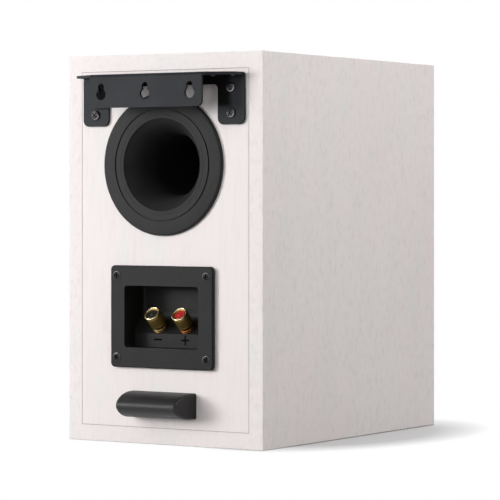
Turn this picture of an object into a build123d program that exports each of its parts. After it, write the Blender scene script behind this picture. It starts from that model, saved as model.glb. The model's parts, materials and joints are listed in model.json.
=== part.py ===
from build123d import *
import os
from math import cos, radians, sin, sqrt, tan

# Two-way bookshelf loudspeaker with a rear port, a terminal cup and a wall bracket.
# The frame: +Z up, the listener in front at -Y, the wall behind at +Y, and the origin
# under the middle of the cabinet, on the surface that it stands on. Millimetres.
# Depths of the driver pieces are counted from the front of the baffle inwards, and
# heights of the rear fittings from the rear panel outwards.

# ---------------------------------------------------------------- driving dimensions
cabinet_width = 181.0
cabinet_height = 302.0
cabinet_depth = 270.0
wall = 12.5
rear_thickness = 12.5
baffle_thickness = 18.0
arris = 0.7
seam = 0.4
fit_gap = 0.25
coil_gap = 0.5
running_gap = 0.06

brace_gap = 15.0
brace_thickness = 12.5
brace_rim = 22.0
brace_corner = 12.0
lining_thickness = 10.0
lining_margin = 8.0

port_bracket_gap = 6.0
port_flange_radius = 55.0
port_flange_thickness = 3.0
port_flange_round = 1.6
port_groove_radius = 43.5
port_groove_width = 0.9
port_groove_depth = 0.7
port_tube_bore = 23.5
port_tube_wall = 2.5
port_flare_round = 12.0
port_throat_length = 6.0
port_collar_wall = 1.0
port_tube_length = 88.0
port_sleeve_length = 12.0
port_inner_round = 11.0

cup_drop = 2.55
cup_plate_width = 95.0
cup_plate_height = 79.2
cup_plate_thickness = 3.0
cup_plate_corner = 3.5
cup_plate_round = 1.0
cup_gasket_thickness = 1.0
cup_gasket_inset = 1.0
cup_side_border = 13.0
cup_end_border = 15.6
cup_mouth_corner = 2.6
cup_wall = 2.5
cup_deep = 22.5
cup_shallow = 10.7
cup_step_height = 10.6
cup_inner_round = 5.0
cup_scoop_round = 8.0
cup_screw_side_inset = 5.8
cup_screw_end_inset = 7.85
sign_length = 6.0
sign_width = 1.0
sign_depth = 0.4
sign_drop = 4.4

post_tilt = 42.0
post_spacing = 25.4
post_up_slope = 6.2
post_stud_radius = 2.0
post_stud_inside = 12.0
post_stud_end_gap = 1.6
post_collar_radius = 5.4
post_collar_height = 3.2
post_collar_chamfer = 0.5
post_rest_gap = 0.8
clamp_washer_radius = 5.0
clamp_washer_thickness = 0.5
knob_radius = 6.2
knob_length = 12.9
knob_rim = 1.5
knob_waist = 0.5
knob_edge_round = 0.6
plug_thickness = 2.2
plug_sink = 0.4
insulator_radius = 4.9
insulator_thickness = 1.6
lug_thickness = 0.6
lug_radius = 4.0
lug_tail = 11.0
lug_tail_width = 3.2
nut_flats = 7.0
nut_thickness = 3.0

bracket_drop = 16.0
bracket_sheet = 2.0
bracket_reach = 26.0
bracket_bend = 1.2
bracket_shoulder = 11.0
ear_inset = 4.0
ear_width = 24.0
ear_length = 39.5
ear_corner = 5.0
strip_depth = 8.7
strip_corner = 4.0
bend_slot_offset = 4.0
bend_slot_distance = 18.0
bend_slot_width = 4.2
bend_slot_height = 2.4
flange_width = 104.0
flange_depth = 26.0
flange_corner = 4.0
keyhole_spacing = 41.0
keyhole_entry_radius = 4.45
keyhole_slot_radius = 2.75
keyhole_entry_drop = 15.55
keyhole_slot_rise = 5.9
ear_screw_drop = 11.2
ear_screw_distance = 19.5

bumper_height = 31.0
bumper_foot = 20.0
bumper_width = 60.4
bumper_nose_width = 55.2
bumper_straight = 4.0
bumper_end_round = 2.0

screw_shank_radius = 1.5
screw_clearance = 0.25
flat_head_radius = 3.2
flat_head_height = 1.8
pan_head_radius = 3.0
pan_head_height = 2.0
pan_head_round = 1.0
rear_screw_length = 12.0
baffle_screw_length = 16.0
rim_round = 0.8
cut_over = 1.0

drivers_rise = 4.0
driver_spacing = 4.0

woofer_side_margin = 8.0
woofer_flange_thickness = 7.0
woofer_gasket_thickness = 1.0
woofer_flange_width = 13.5
woofer_skirt_wall = 3.0
woofer_seat_inset = 7.0
woofer_seat_depth = 5.0
woofer_screw_inset = 3.5
woofer_screw_count = 6
woofer_trim_inset = 14.0
woofer_trim_front = 0.6
trim_bevel_width = 3.0
trim_bevel_depth = 1.5
basket_back = 52.0
basket_floor = 3.0
basket_bore_step = 2.0
basket_neck_depth = 14.0
basket_taper = 11.5
basket_kink = 2.0
spider_seat_height = 8.0
spider_seat_width = 4.5
spoke_count = 6
spoke_width = 12.0
window_front_margin = 2.0
window_back_margin = 6.0
surround_lip = 0.8
surround_inset = 9.0
roll_inset = 14.5
roll_width = 9.0
surround_glue_width = 4.0
cone_rim_depth = 5.0
cone_neck_depth = 28.5
cone_paper = 1.2
cone_collar_height = 4.0
dust_cap_radius = 19.0
dust_cap_rise = 6.5
dust_cap_skin = 0.8
woofer_former_radius = 13.0
woofer_former_wall = 0.4
woofer_former_front = 25.5
woofer_former_overhang = 5.0
woofer_coil_build = 0.7
woofer_coil_length = 11.0
spider_cloth = 0.8
spider_glue_width = 2.0
spider_wave_pitch = 3.2
spider_wave_height = 1.3
woofer_plate_thickness = 5.0
woofer_plate_radius = 40.0
woofer_magnet_thickness = 15.0
woofer_magnet_radius = 45.0
woofer_magnet_bore = 22.0
woofer_magnet_round = 1.5
woofer_yoke_thickness = 6.0
woofer_pole_gap = 0.6
woofer_vent_radius = 4.0

tweeter_flange_radius = 45.0
tweeter_flange_thickness = 4.0
tweeter_gasket_thickness = 1.0
tweeter_boss_inset = 14.0
tweeter_boss_depth = 8.0
tweeter_throat_radius = 17.2
tweeter_throat_depth = 6.0
tweeter_horn_inset = 13.0
tweeter_horn_bow = 0.36
tweeter_screw_inset = 5.5
tweeter_screw_count = 4
dome_radius = 12.7
dome_base_depth = 6.6
dome_rise = 4.6
dome_skin = 0.5
tweeter_roll_outer = 16.0
tweeter_lip_outer = 17.0
tweeter_lip = 0.5
tweeter_former_wall = 0.4
tweeter_former_back = 13.0
tweeter_coil_build = 0.5
tweeter_coil_front = 8.4
tweeter_coil_back = 12.0
tweeter_plate_thickness = 3.0
tweeter_motor_inset = 3.0
tweeter_magnet_thickness = 6.0
tweeter_magnet_bore = 17.0
tweeter_yoke_thickness = 3.0
tweeter_pole_gap = 0.5
tweeter_vent_radius = 4.0
chamber_inset = 4.0
chamber_depth = 18.0
chamber_wall = 2.0

board_width = 112.0
board_length = 92.0
board_thickness = 1.6
board_corner = 2.0
board_setback = 26.5
board_inset = 6.0
standoff_radius = 3.5
standoff_height = 6.0
bobbin_thickness = 1.5
bobbin_lip = 2.0
bass_coil_radius = 20.0
bass_coil_bore = 9.0
bass_coil_height = 18.0
bass_coil_side_margin = 6.0
bass_coil_end_margin = 2.0
treble_coil_radius = 14.0
treble_coil_bore = 6.0
treble_coil_height = 12.0
treble_coil_side_margin = 16.0
treble_coil_end_margin = 6.0
capacitor_radius = 8.0
capacitor_length = 34.0
capacitor_pitch = 17.0
capacitor_side_margin = 15.0
capacitor_end_margin = 10.0
resistor_length = 24.0
resistor_side = 8.0
resistor_pitch = 12.0
resistor_side_margin = 18.0
resistor_end_margin = 14.0

# ---------------------------------------------------------------- places worked out
front_y = -cabinet_depth / 2
rear_y = cabinet_depth / 2
middle_z = cabinet_height / 2
inner_width = cabinet_width - 2 * wall
inner_height = cabinet_height - 2 * wall
panel_inner_y = rear_y - rear_thickness

bracket_top = cabinet_height - bracket_drop
bracket_width = 2 * (port_flange_radius - ear_inset + ear_width)
ear_bottom = bracket_top - ear_length
strip_bottom = bracket_top - strip_depth
flange_bottom = bracket_top - flange_depth
keyhole_entry_height = bracket_top - keyhole_entry_drop
ear_spread = bracket_width - ear_width
bend_slot_middle = bracket_width / 2 - ear_width + bend_slot_offset
ear_screw_middle = bracket_top - ear_screw_drop - ear_screw_distance / 2

port_height = strip_bottom - port_bracket_gap - port_flange_radius
port_tube_radius = port_tube_bore + port_tube_wall
port_mouth_radius = port_tube_bore + port_flare_round
port_hole_radius = port_mouth_radius + port_collar_wall
port_shoulder = port_flange_thickness - port_flare_round - port_throat_length
tube_end = port_shoulder - port_tube_length

# The terminal cup lies midway between the rubber spacer and the port, a little lower.
bumper_top = bumper_height + bumper_foot / 2
cup_height = (bumper_top + port_height - port_flange_radius) / 2 - cup_drop
cup_mouth_width = cup_plate_width - 2 * cup_side_border
cup_mouth_height = cup_plate_height - 2 * cup_end_border
cup_screw_width = cup_plate_width - 2 * cup_screw_side_inset
cup_screw_height = cup_plate_height - 2 * cup_screw_end_inset
cup_top = cup_height + cup_mouth_height / 2
cup_bottom = cup_height - cup_mouth_height / 2
cup_face = cup_gasket_thickness + cup_plate_thickness
slope_bottom = cup_bottom + cup_step_height
sign_height = slope_bottom - sign_drop
slope_rise = (cup_deep - cup_shallow) / tan(radians(post_tilt))
cutout_width = cup_mouth_width + 2 * (cup_wall + fit_gap)
cutout_height = cup_mouth_height + 2 * (cup_wall + fit_gap)

post_direction = Vector(0, cos(radians(post_tilt)), sin(radians(post_tilt)))
post_foot_y = rear_y - cup_shallow - post_up_slope * sin(radians(post_tilt))
post_foot_z = slope_bottom + post_up_slope * cos(radians(post_tilt))
washer_low = post_collar_height + post_rest_gap
knob_low = washer_low + clamp_washer_thickness
knob_bore = post_stud_radius + running_gap
knob_floor = knob_low + knob_length - plug_sink - plug_thickness
post_stud_outside = knob_floor - post_stud_end_gap
plug_radius = knob_radius - knob_rim

# The two drivers stand one above the other, as a pair a little above the baffle's middle.
woofer_flange_radius = inner_width / 2 - woofer_side_margin
pair_bottom = middle_z + drivers_rise - woofer_flange_radius - driver_spacing / 2 - tweeter_flange_radius
woofer_height = pair_bottom + woofer_flange_radius
tweeter_height = woofer_height + woofer_flange_radius + driver_spacing + tweeter_flange_radius

woofer_neck_radius = woofer_flange_radius - woofer_flange_width
woofer_seat_radius = woofer_flange_radius - woofer_seat_inset
woofer_screw_circle = woofer_flange_radius - woofer_screw_inset
woofer_trim_bore = woofer_flange_radius - woofer_trim_inset
basket_waist_radius = woofer_neck_radius - basket_taper
surround_outer = woofer_flange_radius - surround_inset
roll_outer = woofer_flange_radius - roll_inset
roll_inner = roll_outer - roll_width
cone_outer = roll_inner
spider_seat_depth = basket_back - basket_floor - spider_seat_height
basket_waist_depth = spider_seat_depth + cut_over

motor_front = basket_back
woofer_magnet_front = motor_front + woofer_plate_thickness
woofer_yoke_front = woofer_magnet_front + woofer_magnet_thickness
woofer_back = woofer_yoke_front + woofer_yoke_thickness
woofer_former_back = woofer_magnet_front + woofer_former_overhang
woofer_coil_front = motor_front + (woofer_plate_thickness - woofer_coil_length) / 2
woofer_coil_back = woofer_coil_front + woofer_coil_length
woofer_pole_radius = woofer_former_radius - woofer_former_wall - woofer_pole_gap
woofer_coil_radius = woofer_former_radius + woofer_coil_build
woofer_gap_radius = woofer_coil_radius + coil_gap
basket_bore = woofer_gap_radius + basket_bore_step

tweeter_boss_radius = tweeter_flange_radius - tweeter_boss_inset
tweeter_horn_radius = tweeter_flange_radius - tweeter_horn_inset
tweeter_screw_circle = tweeter_flange_radius - tweeter_screw_inset
tweeter_motor_radius = tweeter_boss_radius - tweeter_motor_inset
chamber_radius = tweeter_motor_radius - chamber_inset
tweeter_magnet_front = tweeter_boss_depth + tweeter_plate_thickness
tweeter_yoke_front = tweeter_magnet_front + tweeter_magnet_thickness
tweeter_back = tweeter_yoke_front + tweeter_yoke_thickness
tweeter_pole_radius = dome_radius - tweeter_former_wall - tweeter_pole_gap
tweeter_coil_radius = dome_radius + tweeter_coil_build
tweeter_gap_radius = tweeter_coil_radius + coil_gap

brace_front = front_y + woofer_back + brace_gap
board_low = wall + standoff_height
board_top = board_low + board_thickness
board_middle = panel_inner_y - board_setback - board_length / 2

front_face = Plane.XZ.offset(-front_y)
rear_face = Plane(origin=(0, rear_y, 0), x_dir=(-1, 0, 0), z_dir=(0, 1, 0))
woofer_plane = Plane.XY.offset(woofer_height)
tweeter_plane = Plane.XY.offset(tweeter_height)
port_plane = Plane.XY.offset(port_height)
woofer_axis = Axis((0, 0, woofer_height), (0, 1, 0))
tweeter_axis = Axis((0, 0, tweeter_height), (0, 1, 0))
port_axis = Axis((0, 0, port_height), (0, 1, 0))


def inward(*points):
    """Points (radius, depth behind the baffle's front) as (radius, y)."""
    return [(radius, front_y + depth) for radius, depth in points]


def outward(*points):
    """Points (radius, height over the rear panel) as (radius, y)."""
    return [(radius, rear_y + height) for radius, height in points]


def ring(inner, outer, low, high):
    """Corners of a ring's section: two radii and the two ends along the axis."""
    return (inner, low), (outer, low), (outer, high), (inner, high)


def sphere_radius(rim, rise):
    """Radius of the sphere whose cap has this rim radius and rise."""
    return (rim**2 + rise**2) / (2 * rise)


def cap_middle(rim, rise, top):
    """Point halfway out along a cap whose top is at this depth."""
    sphere = sphere_radius(rim, rise)
    return rim / 2, top + sphere - sqrt(sphere**2 - (rim / 2) ** 2)


def closed(points):
    """Face inside the current sketch, bounded by straight lines through the points."""
    Polygon(*points, align=None)


# ---------------------------------------------------------------- cabinet
def mitred_panel(corners):
    """The part of the wrapped carcass that lies between two mitre joints."""
    with BuildPart() as panel:
        with BuildSketch(rear_face):
            with Locations((0, middle_z)):
                Rectangle(cabinet_width, cabinet_height)
        extrude(amount=-cabinet_depth)
        fillet(panel.edges(), arris)
        with BuildSketch(rear_face):
            with Locations((0, middle_z)):
                Rectangle(inner_width, inner_height)
        extrude(amount=-cabinet_depth, mode=Mode.SUBTRACT)
        with BuildSketch(rear_face):
            closed(corners)
        extrude(amount=-cabinet_depth, mode=Mode.INTERSECT)
    return panel


half_width = cabinet_width / 2
outer_corners = [
    (-half_width, 0),
    (half_width, 0),
    (half_width, cabinet_height),
    (-half_width, cabinet_height),
]
inner_corners = [
    (-half_width + wall, wall),
    (half_width - wall, wall),
    (half_width - wall, cabinet_height - wall),
    (-half_width + wall, cabinet_height - wall),
]


def mitre_corners(side):
    """Trapezium of one carcass panel; the sides go round from the bottom one."""
    after = (side + 1) % 4
    return outer_corners[side], outer_corners[after], inner_corners[after], inner_corners[side]


cabinet_bottom = mitred_panel(mitre_corners(0))
cabinet_left = mitred_panel(mitre_corners(1))
cabinet_top = mitred_panel(mitre_corners(2))
cabinet_right = mitred_panel(mitre_corners(3))

with BuildPart() as rear_panel:
    with BuildSketch(rear_face):
        with Locations((0, middle_z)):
            Rectangle(inner_width, inner_height)
    extrude(amount=-rear_thickness)
    chamfer(rear_panel.faces().sort_by(Axis.Y)[-1].edges(), seam)
    with BuildSketch(rear_face):
        with Locations((0, port_height)):
            Circle(port_hole_radius)
        with Locations((0, cup_height)):
            Rectangle(cutout_width, cutout_height)
    extrude(amount=-rear_thickness, mode=Mode.SUBTRACT)
    with BuildSketch(rear_face):
        with Locations((0, cup_height)):
            with GridLocations(cup_screw_width, cup_screw_height, 2, 2):
                Circle(screw_shank_radius)
        with Locations((0, ear_screw_middle)):
            with GridLocations(ear_spread, ear_screw_distance, 2, 2):
                Circle(screw_shank_radius)
    extrude(amount=-rear_screw_length, mode=Mode.SUBTRACT)

woofer_rebate = woofer_flange_thickness + woofer_gasket_thickness
tweeter_rebate = tweeter_flange_thickness + tweeter_gasket_thickness
with BuildPart() as front_baffle:
    with BuildSketch(front_face):
        with Locations((0, middle_z)):
            Rectangle(inner_width, inner_height)
    extrude(amount=-baffle_thickness)
    chamfer(front_baffle.faces().sort_by(Axis.Y)[0].edges(), seam)
    with BuildSketch(front_face):
        with Locations((0, woofer_height)):
            Circle(woofer_flange_radius + fit_gap)
    extrude(amount=-woofer_rebate, mode=Mode.SUBTRACT)
    with BuildSketch(front_face):
        with Locations((0, tweeter_height)):
            Circle(tweeter_flange_radius + fit_gap)
    extrude(amount=-tweeter_rebate, mode=Mode.SUBTRACT)
    with BuildSketch(front_face):
        with Locations((0, woofer_height)):
            Circle(woofer_neck_radius + fit_gap)
        with Locations((0, tweeter_height)):
            Circle(tweeter_boss_radius + fit_gap)
    extrude(amount=-baffle_thickness, mode=Mode.SUBTRACT)
    with BuildSketch(front_face):
        with Locations((0, woofer_height)):
            with PolarLocations(woofer_screw_circle, woofer_screw_count, start_angle=30):
                Circle(screw_shank_radius)
        with Locations((0, tweeter_height)):
            with PolarLocations(tweeter_screw_circle, tweeter_screw_count, start_angle=45):
                Circle(screw_shank_radius)
    extrude(amount=-baffle_screw_length, mode=Mode.SUBTRACT)

# Window brace: a frame glued between the walls, open over most of its area.
brace_plane = Plane.XZ.offset(-brace_front)
window_height = (inner_height - 3 * brace_rim) / 2
with BuildPart() as brace:
    with BuildSketch(brace_plane):
        with Locations((0, middle_z)):
            Rectangle(inner_width, inner_height)
            with GridLocations(0, window_height + brace_rim, 1, 2):
                RectangleRounded(
                    inner_width - 2 * brace_rim,
                    window_height,
                    brace_corner,
                    mode=Mode.SUBTRACT,
                )
    extrude(amount=-brace_thickness)

# Felt on both side walls, between the brace and the rear panel.
lining_front = brace_front + brace_thickness + lining_margin
lining_x = (inner_width - lining_thickness) / 2
lining_length = panel_inner_y - lining_margin - lining_front
with BuildPart() as wall_lining:
    for side in (-1, 1):
        with Locations((side * lining_x, lining_front + lining_length / 2, middle_z)):
            Box(lining_thickness, lining_length, inner_height - 2 * lining_margin)

# ---------------------------------------------------------------- port
with BuildPart() as port_flange:
    with BuildSketch(port_plane):
        with BuildLine():
            face = port_flange_thickness
            start = outward((port_tube_bore, port_shoulder))[0]
            throat = outward((port_tube_bore, face - port_flare_round))[0]
            lip = outward((port_mouth_radius, face))[0]
            Line(start, throat)
            RadiusArc(throat, lip, port_flare_round)
            Polyline(
                lip,
                *outward(
                    (port_flange_radius, face),
                    (port_flange_radius, 0),
                    (port_hole_radius - fit_gap, 0),
                    (port_hole_radius - fit_gap, -2 * port_flange_thickness),
                    (port_tube_radius + port_tube_wall, port_shoulder),
                    (port_tube_radius + port_tube_wall, port_shoulder - port_sleeve_length),
                    (port_tube_radius, port_shoulder - port_sleeve_length),
                    (port_tube_radius, port_shoulder),
                ),
                start,
            )
        make_face()
    revolve(axis=port_axis)
    face_circles = port_flange.edges().filter_by(GeomType.CIRCLE).group_by(Axis.Y)[-1]
    fillet(face_circles.sort_by(SortBy.RADIUS)[-1:], port_flange_round)
    with BuildSketch(port_plane):
        groove_inner = port_groove_radius - port_groove_width / 2
        groove_outer = port_groove_radius + port_groove_width / 2
        closed(outward(*ring(groove_inner, groove_outer, face - port_groove_depth, face + cut_over)))
    revolve(axis=port_axis, mode=Mode.SUBTRACT)

with BuildPart() as port_tube:
    with BuildSketch(port_plane):
        closed(outward(*ring(port_tube_bore, port_tube_radius, tube_end, port_shoulder)))
    revolve(axis=port_axis)

inner_mouth = port_tube_bore + port_inner_round
with BuildPart() as port_inner_flare:
    with BuildSketch(port_plane):
        with BuildLine():
            sleeve_radius = port_tube_radius + port_tube_wall
            flare_end = tube_end - port_inner_round
            start, outer_end = outward((port_tube_bore, tube_end), (inner_mouth, flare_end))
            RadiusArc(start, outer_end, -port_inner_round)
            Polyline(
                outer_end,
                *outward(
                    (inner_mouth + port_tube_wall, flare_end),
                    (inner_mouth + port_tube_wall, flare_end + port_tube_wall),
                    (sleeve_radius, tube_end),
                    (sleeve_radius, tube_end + port_sleeve_length),
                    (port_tube_radius, tube_end + port_sleeve_length),
                    (port_tube_radius, tube_end),
                ),
                start,
            )
        make_face()
    revolve(axis=port_axis)

# ---------------------------------------------------------------- terminal cup
def cup_section(opening):
    """Corners (y, z) of the recess, from its opening at this height over the panel."""
    corners = [
        (opening, cup_top),
        (-cup_deep, cup_top),
        (-cup_deep, slope_bottom + slope_rise),
        (-cup_shallow, slope_bottom),
        (-cup_shallow, cup_bottom),
        (opening, cup_bottom),
    ]
    return [(rear_y + height, z) for height, z in corners]


with BuildPart() as cup_recess:
    with BuildSketch(Plane.YZ):
        closed(cup_section(2 * cup_face))
    extrude(amount=cup_mouth_width / 2, both=True)
    deep_edges = cup_recess.edges().filter_by(Axis.X).group_by(Axis.Y)[0].sort_by(Axis.Z)
    fillet(deep_edges[-1:], cup_inner_round)
    fillet(deep_edges[:1], cup_scoop_round)
    fillet(cup_recess.edges().filter_by(Axis.Y), cup_mouth_corner)

post_seat = Plane(
    origin=(0, post_foot_y, post_foot_z),
    x_dir=(1, 0, 0),
    z_dir=(0, post_direction.Y, post_direction.Z),
)


def post_places():
    """The two posts' places, side by side on the slope."""
    return GridLocations(post_spacing, 0, 2, 1)


with BuildPart() as terminal_cup:
    with BuildSketch(rear_face.offset(cup_gasket_thickness)):
        with Locations((0, cup_height)):
            RectangleRounded(cup_plate_width, cup_plate_height, cup_plate_corner)
    extrude(amount=cup_plate_thickness)
    fillet(terminal_cup.faces().sort_by(Axis.Y)[-1].edges(), cup_plate_round)
    with BuildSketch(Plane.YZ):
        closed(cup_section(cup_gasket_thickness))
        offset(amount=cup_wall, kind=Kind.INTERSECTION)
    extrude(amount=cup_mouth_width / 2 + cup_wall, both=True)
    add(cup_recess.part, mode=Mode.SUBTRACT)
    with Locations(rear_face.offset(cup_face)):
        with Locations((0, cup_height)):
            with GridLocations(cup_screw_width, cup_screw_height, 2, 2):
                Cone(
                    screw_shank_radius,
                    flat_head_radius,
                    flat_head_height,
                    align=(Align.CENTER, Align.CENTER, Align.MAX),
                    mode=Mode.SUBTRACT,
                )
                Cylinder(screw_shank_radius, 2 * cup_face, mode=Mode.SUBTRACT)
    with Locations(post_seat):
        with post_places():
            Cylinder(post_stud_radius, 3 * cup_wall, mode=Mode.SUBTRACT)
    # Sunk signs under the posts, a cross under the red one and a bar under the black one.
    with BuildSketch(rear_face.offset(-cup_shallow)):
        with Locations((-post_spacing / 2, sign_height)):
            SlotOverall(sign_length, sign_width)
        with Locations((post_spacing / 2, sign_height)):
            SlotOverall(sign_length, sign_width)
            SlotOverall(sign_length, sign_width, rotation=90)
    extrude(amount=-sign_depth, mode=Mode.SUBTRACT)

with BuildPart() as cup_gasket:
    with BuildSketch(rear_face):
        with Locations((0, cup_height)):
            RectangleRounded(
                cup_plate_width - 2 * cup_gasket_inset,
                cup_plate_height - 2 * cup_gasket_inset,
                cup_plate_corner - cup_gasket_inset,
            )
            Rectangle(cutout_width, cutout_height, mode=Mode.SUBTRACT)
            with GridLocations(cup_screw_width, cup_screw_height, 2, 2):
                Circle(screw_shank_radius, mode=Mode.SUBTRACT)
    extrude(amount=cup_gasket_thickness)

with BuildPart() as cup_screws:
    with Locations(rear_face.offset(cup_face)):
        with Locations((0, cup_height)):
            with GridLocations(cup_screw_width, cup_screw_height, 2, 2):
                Cone(
                    screw_shank_radius,
                    flat_head_radius,
                    flat_head_height,
                    align=(Align.CENTER, Align.CENTER, Align.MAX),
                )
                Cylinder(
                    screw_shank_radius,
                    rear_screw_length,
                    align=(Align.CENTER, Align.CENTER, Align.MAX),
                )


# ---------------------------------------------------------------- binding posts
def post_plane(side):
    """Plane through a post's axis: x across the speaker, y along the post, outwards."""
    return Plane(
        origin=(side * post_spacing / 2, post_foot_y, post_foot_z),
        x_dir=(1, 0, 0),
        z_dir=(0, -post_direction.Z, post_direction.Y),
    )


def post_axis(side):
    """Axis that the post's knob turns about and travels along."""
    return Axis((side * post_spacing / 2, post_foot_y, post_foot_z), tuple(post_direction))


def turned_on_post(side, *points):
    """Solid turned about a post's axis, from (radius, height over the slope)."""
    with BuildPart() as turned:
        with BuildSketch(post_plane(side)):
            closed(points)
        revolve(axis=post_axis(side))
    return turned


def binding_stud(side):
    """Threaded stud with the collar that clamps it to the cup's slope."""
    chamfered = post_collar_height - post_collar_chamfer
    return turned_on_post(
        side,
        (0, -post_stud_inside),
        (post_stud_radius, -post_stud_inside),
        (post_stud_radius, 0),
        (post_collar_radius, 0),
        (post_collar_radius, chamfered),
        (post_collar_radius - post_collar_chamfer, post_collar_height),
        (post_stud_radius, post_collar_height),
        (post_stud_radius, post_stud_outside),
        (0, post_stud_outside),
    )


def clamp_washer(side):
    """Captive washer under the knob, which presses on the wire and doesn't turn."""
    return turned_on_post(side, *ring(knob_bore, clamp_washer_radius, washer_low, knob_low))


def binding_knob(side):
    """Knurled nut with a rim round the socket's coloured plug and two turned grooves."""
    top = knob_low + knob_length
    with BuildPart() as knob:
        with BuildSketch(post_plane(side)):
            closed([
                (knob_bore, knob_low),
                (knob_radius - 2 * knob_waist, knob_low),
                (knob_radius - knob_waist, knob_low + knob_waist),
                (knob_radius - knob_waist, knob_low + 4 * knob_waist),
                (knob_radius, knob_low + 5 * knob_waist),
                (knob_radius, top),
                (plug_radius, top),
                (plug_radius, knob_floor),
                (knob_bore, knob_floor),
            ])
        revolve(axis=post_axis(side))
        rim = knob.edges().filter_by(GeomType.CIRCLE).group_by(post_axis(side))[-1]
        fillet(rim, knob_edge_round)
    return knob


def socket_plug(side):
    """Coloured plug that closes the knob's socket, a little below its rim."""
    top = knob_floor + plug_thickness
    return turned_on_post(side, (0, knob_floor), (plug_radius, knob_floor), (plug_radius, top), (0, top))


black_side, red_side = 1, -1
black_post_stud = binding_stud(black_side)
red_post_stud = binding_stud(red_side)
black_clamp_washer = clamp_washer(black_side)
red_clamp_washer = clamp_washer(red_side)
black_knob = binding_knob(black_side)
red_knob = binding_knob(red_side)
black_plug = socket_plug(black_side)
red_plug = socket_plug(red_side)

insulator_end = cup_wall + insulator_thickness
lug_end = insulator_end + lug_thickness
with BuildPart() as post_insulators:
    with BuildSketch(post_seat.offset(-cup_wall)):
        with post_places():
            Circle(insulator_radius)
            Circle(post_stud_radius, mode=Mode.SUBTRACT)
    extrude(amount=-insulator_thickness)

with BuildPart() as solder_lugs:
    with BuildSketch(post_seat.offset(-insulator_end)):
        with post_places():
            Circle(lug_radius)
            with Locations((0, -lug_tail / 2)):
                Rectangle(lug_tail_width, lug_tail)
            Circle(post_stud_radius, mode=Mode.SUBTRACT)
    extrude(amount=-lug_thickness)

with BuildPart() as post_nuts:
    with BuildSketch(post_seat.offset(-lug_end)):
        with post_places():
            RegularPolygon(nut_flats / 2, 6, major_radius=False)
            Circle(post_stud_radius, mode=Mode.SUBTRACT)
    extrude(amount=-nut_thickness)

# ---------------------------------------------------------------- wall bracket
taper_end_y = rear_y + bracket_reach - bracket_bend - bracket_sheet
pick_tolerance = 0.1
with BuildPart() as wall_bracket:
    with BuildSketch(Plane.YZ) as bent_section:
        closed([
            (rear_y, ear_bottom),
            (rear_y, bracket_top),
            (rear_y + bracket_reach, bracket_top),
            (rear_y + bracket_reach, flange_bottom),
            (rear_y + bracket_reach - bracket_sheet, flange_bottom),
            (rear_y + bracket_reach - bracket_sheet, bracket_top - bracket_sheet),
            (rear_y + bracket_sheet, bracket_top - bracket_sheet),
            (rear_y + bracket_sheet, ear_bottom),
        ])
        bends = bent_section.vertices()
        fillet(bends.group_by(Axis.Y)[-1], bracket_bend + bracket_sheet)
        inner_bends = bent_section.vertices().filter_by(
            lambda corner: abs(corner.Z - bracket_top + bracket_sheet) < pick_tolerance
            and rear_y + pick_tolerance < corner.Y < rear_y + bracket_reach - pick_tolerance
        )
        fillet(inner_bends, bracket_bend)
    extrude(amount=bracket_width / 2, both=True)
    # Plan of the top plate: square shoulders at the ears, tapering to the flange.
    with BuildSketch(Plane.XY):
        closed([
            (-bracket_width / 2, rear_y - cut_over),
            (bracket_width / 2, rear_y - cut_over),
            (bracket_width / 2, rear_y + bracket_shoulder),
            (flange_width / 2, taper_end_y),
            (flange_width / 2, rear_y + bracket_reach + cut_over),
            (-flange_width / 2, rear_y + bracket_reach + cut_over),
            (-flange_width / 2, taper_end_y),
            (-bracket_width / 2, rear_y + bracket_shoulder),
        ])
    extrude(amount=cabinet_height, mode=Mode.INTERSECT)
    # The opening between the two ears, under the strip that joins them.
    with BuildSketch(rear_face):
        with Locations((0, ear_bottom)):
            RectangleRounded(bracket_width - 2 * ear_width, 2 * (strip_bottom - ear_bottom), strip_corner)
    extrude(amount=bracket_sheet, mode=Mode.SUBTRACT)
    across_sheet = wall_bracket.edges().filter_by(Axis.Y)
    fillet(across_sheet.group_by(Axis.Z)[0], ear_corner)
    flange_edges = wall_bracket.edges().filter_by(Axis.Y)
    flange_ends = flange_edges.filter_by_position(
        Axis.Z, flange_bottom - pick_tolerance, flange_bottom + pick_tolerance
    )
    fillet(flange_ends, flange_corner)
    with BuildSketch(rear_face.offset(bracket_reach)):
        with Locations((0, keyhole_entry_height)):
            with GridLocations(keyhole_spacing, 0, 3, 1):
                Circle(keyhole_entry_radius)
                with Locations((0, keyhole_slot_rise / 2)):
                    Rectangle(2 * keyhole_slot_radius, keyhole_slot_rise)
                with Locations((0, keyhole_slot_rise)):
                    Circle(keyhole_slot_radius)
    extrude(amount=-2 * bracket_sheet, mode=Mode.SUBTRACT)
    with BuildSketch(rear_face):
        with Locations((0, ear_screw_middle)):
            with GridLocations(ear_spread, ear_screw_distance, 2, 2):
                Circle(screw_shank_radius + screw_clearance)
    extrude(amount=bracket_sheet, mode=Mode.SUBTRACT)
    # Relief slots along the rear bend, two over each ear.
    with BuildSketch(rear_face):
        with Locations((0, bracket_top)):
            with GridLocations(2 * bend_slot_middle, 0, 2, 1):
                with GridLocations(bend_slot_distance, 0, 2, 1):
                    Rectangle(bend_slot_width, 2 * bend_slot_height)
    extrude(amount=bracket_sheet + bracket_bend, mode=Mode.SUBTRACT)

with BuildPart() as bracket_screws:
    with Locations(rear_face.offset(bracket_sheet)):
        with Locations((0, ear_screw_middle)):
            with GridLocations(ear_spread, ear_screw_distance, 2, 2):
                Cylinder(pan_head_radius, pan_head_height, align=(Align.CENTER, Align.CENTER, Align.MIN))
                Cylinder(screw_shank_radius, rear_screw_length, align=(Align.CENTER, Align.CENTER, Align.MAX))
    fillet(bracket_screws.edges().filter_by(GeomType.CIRCLE).group_by(Axis.Y)[-1], pan_head_round)

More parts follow.
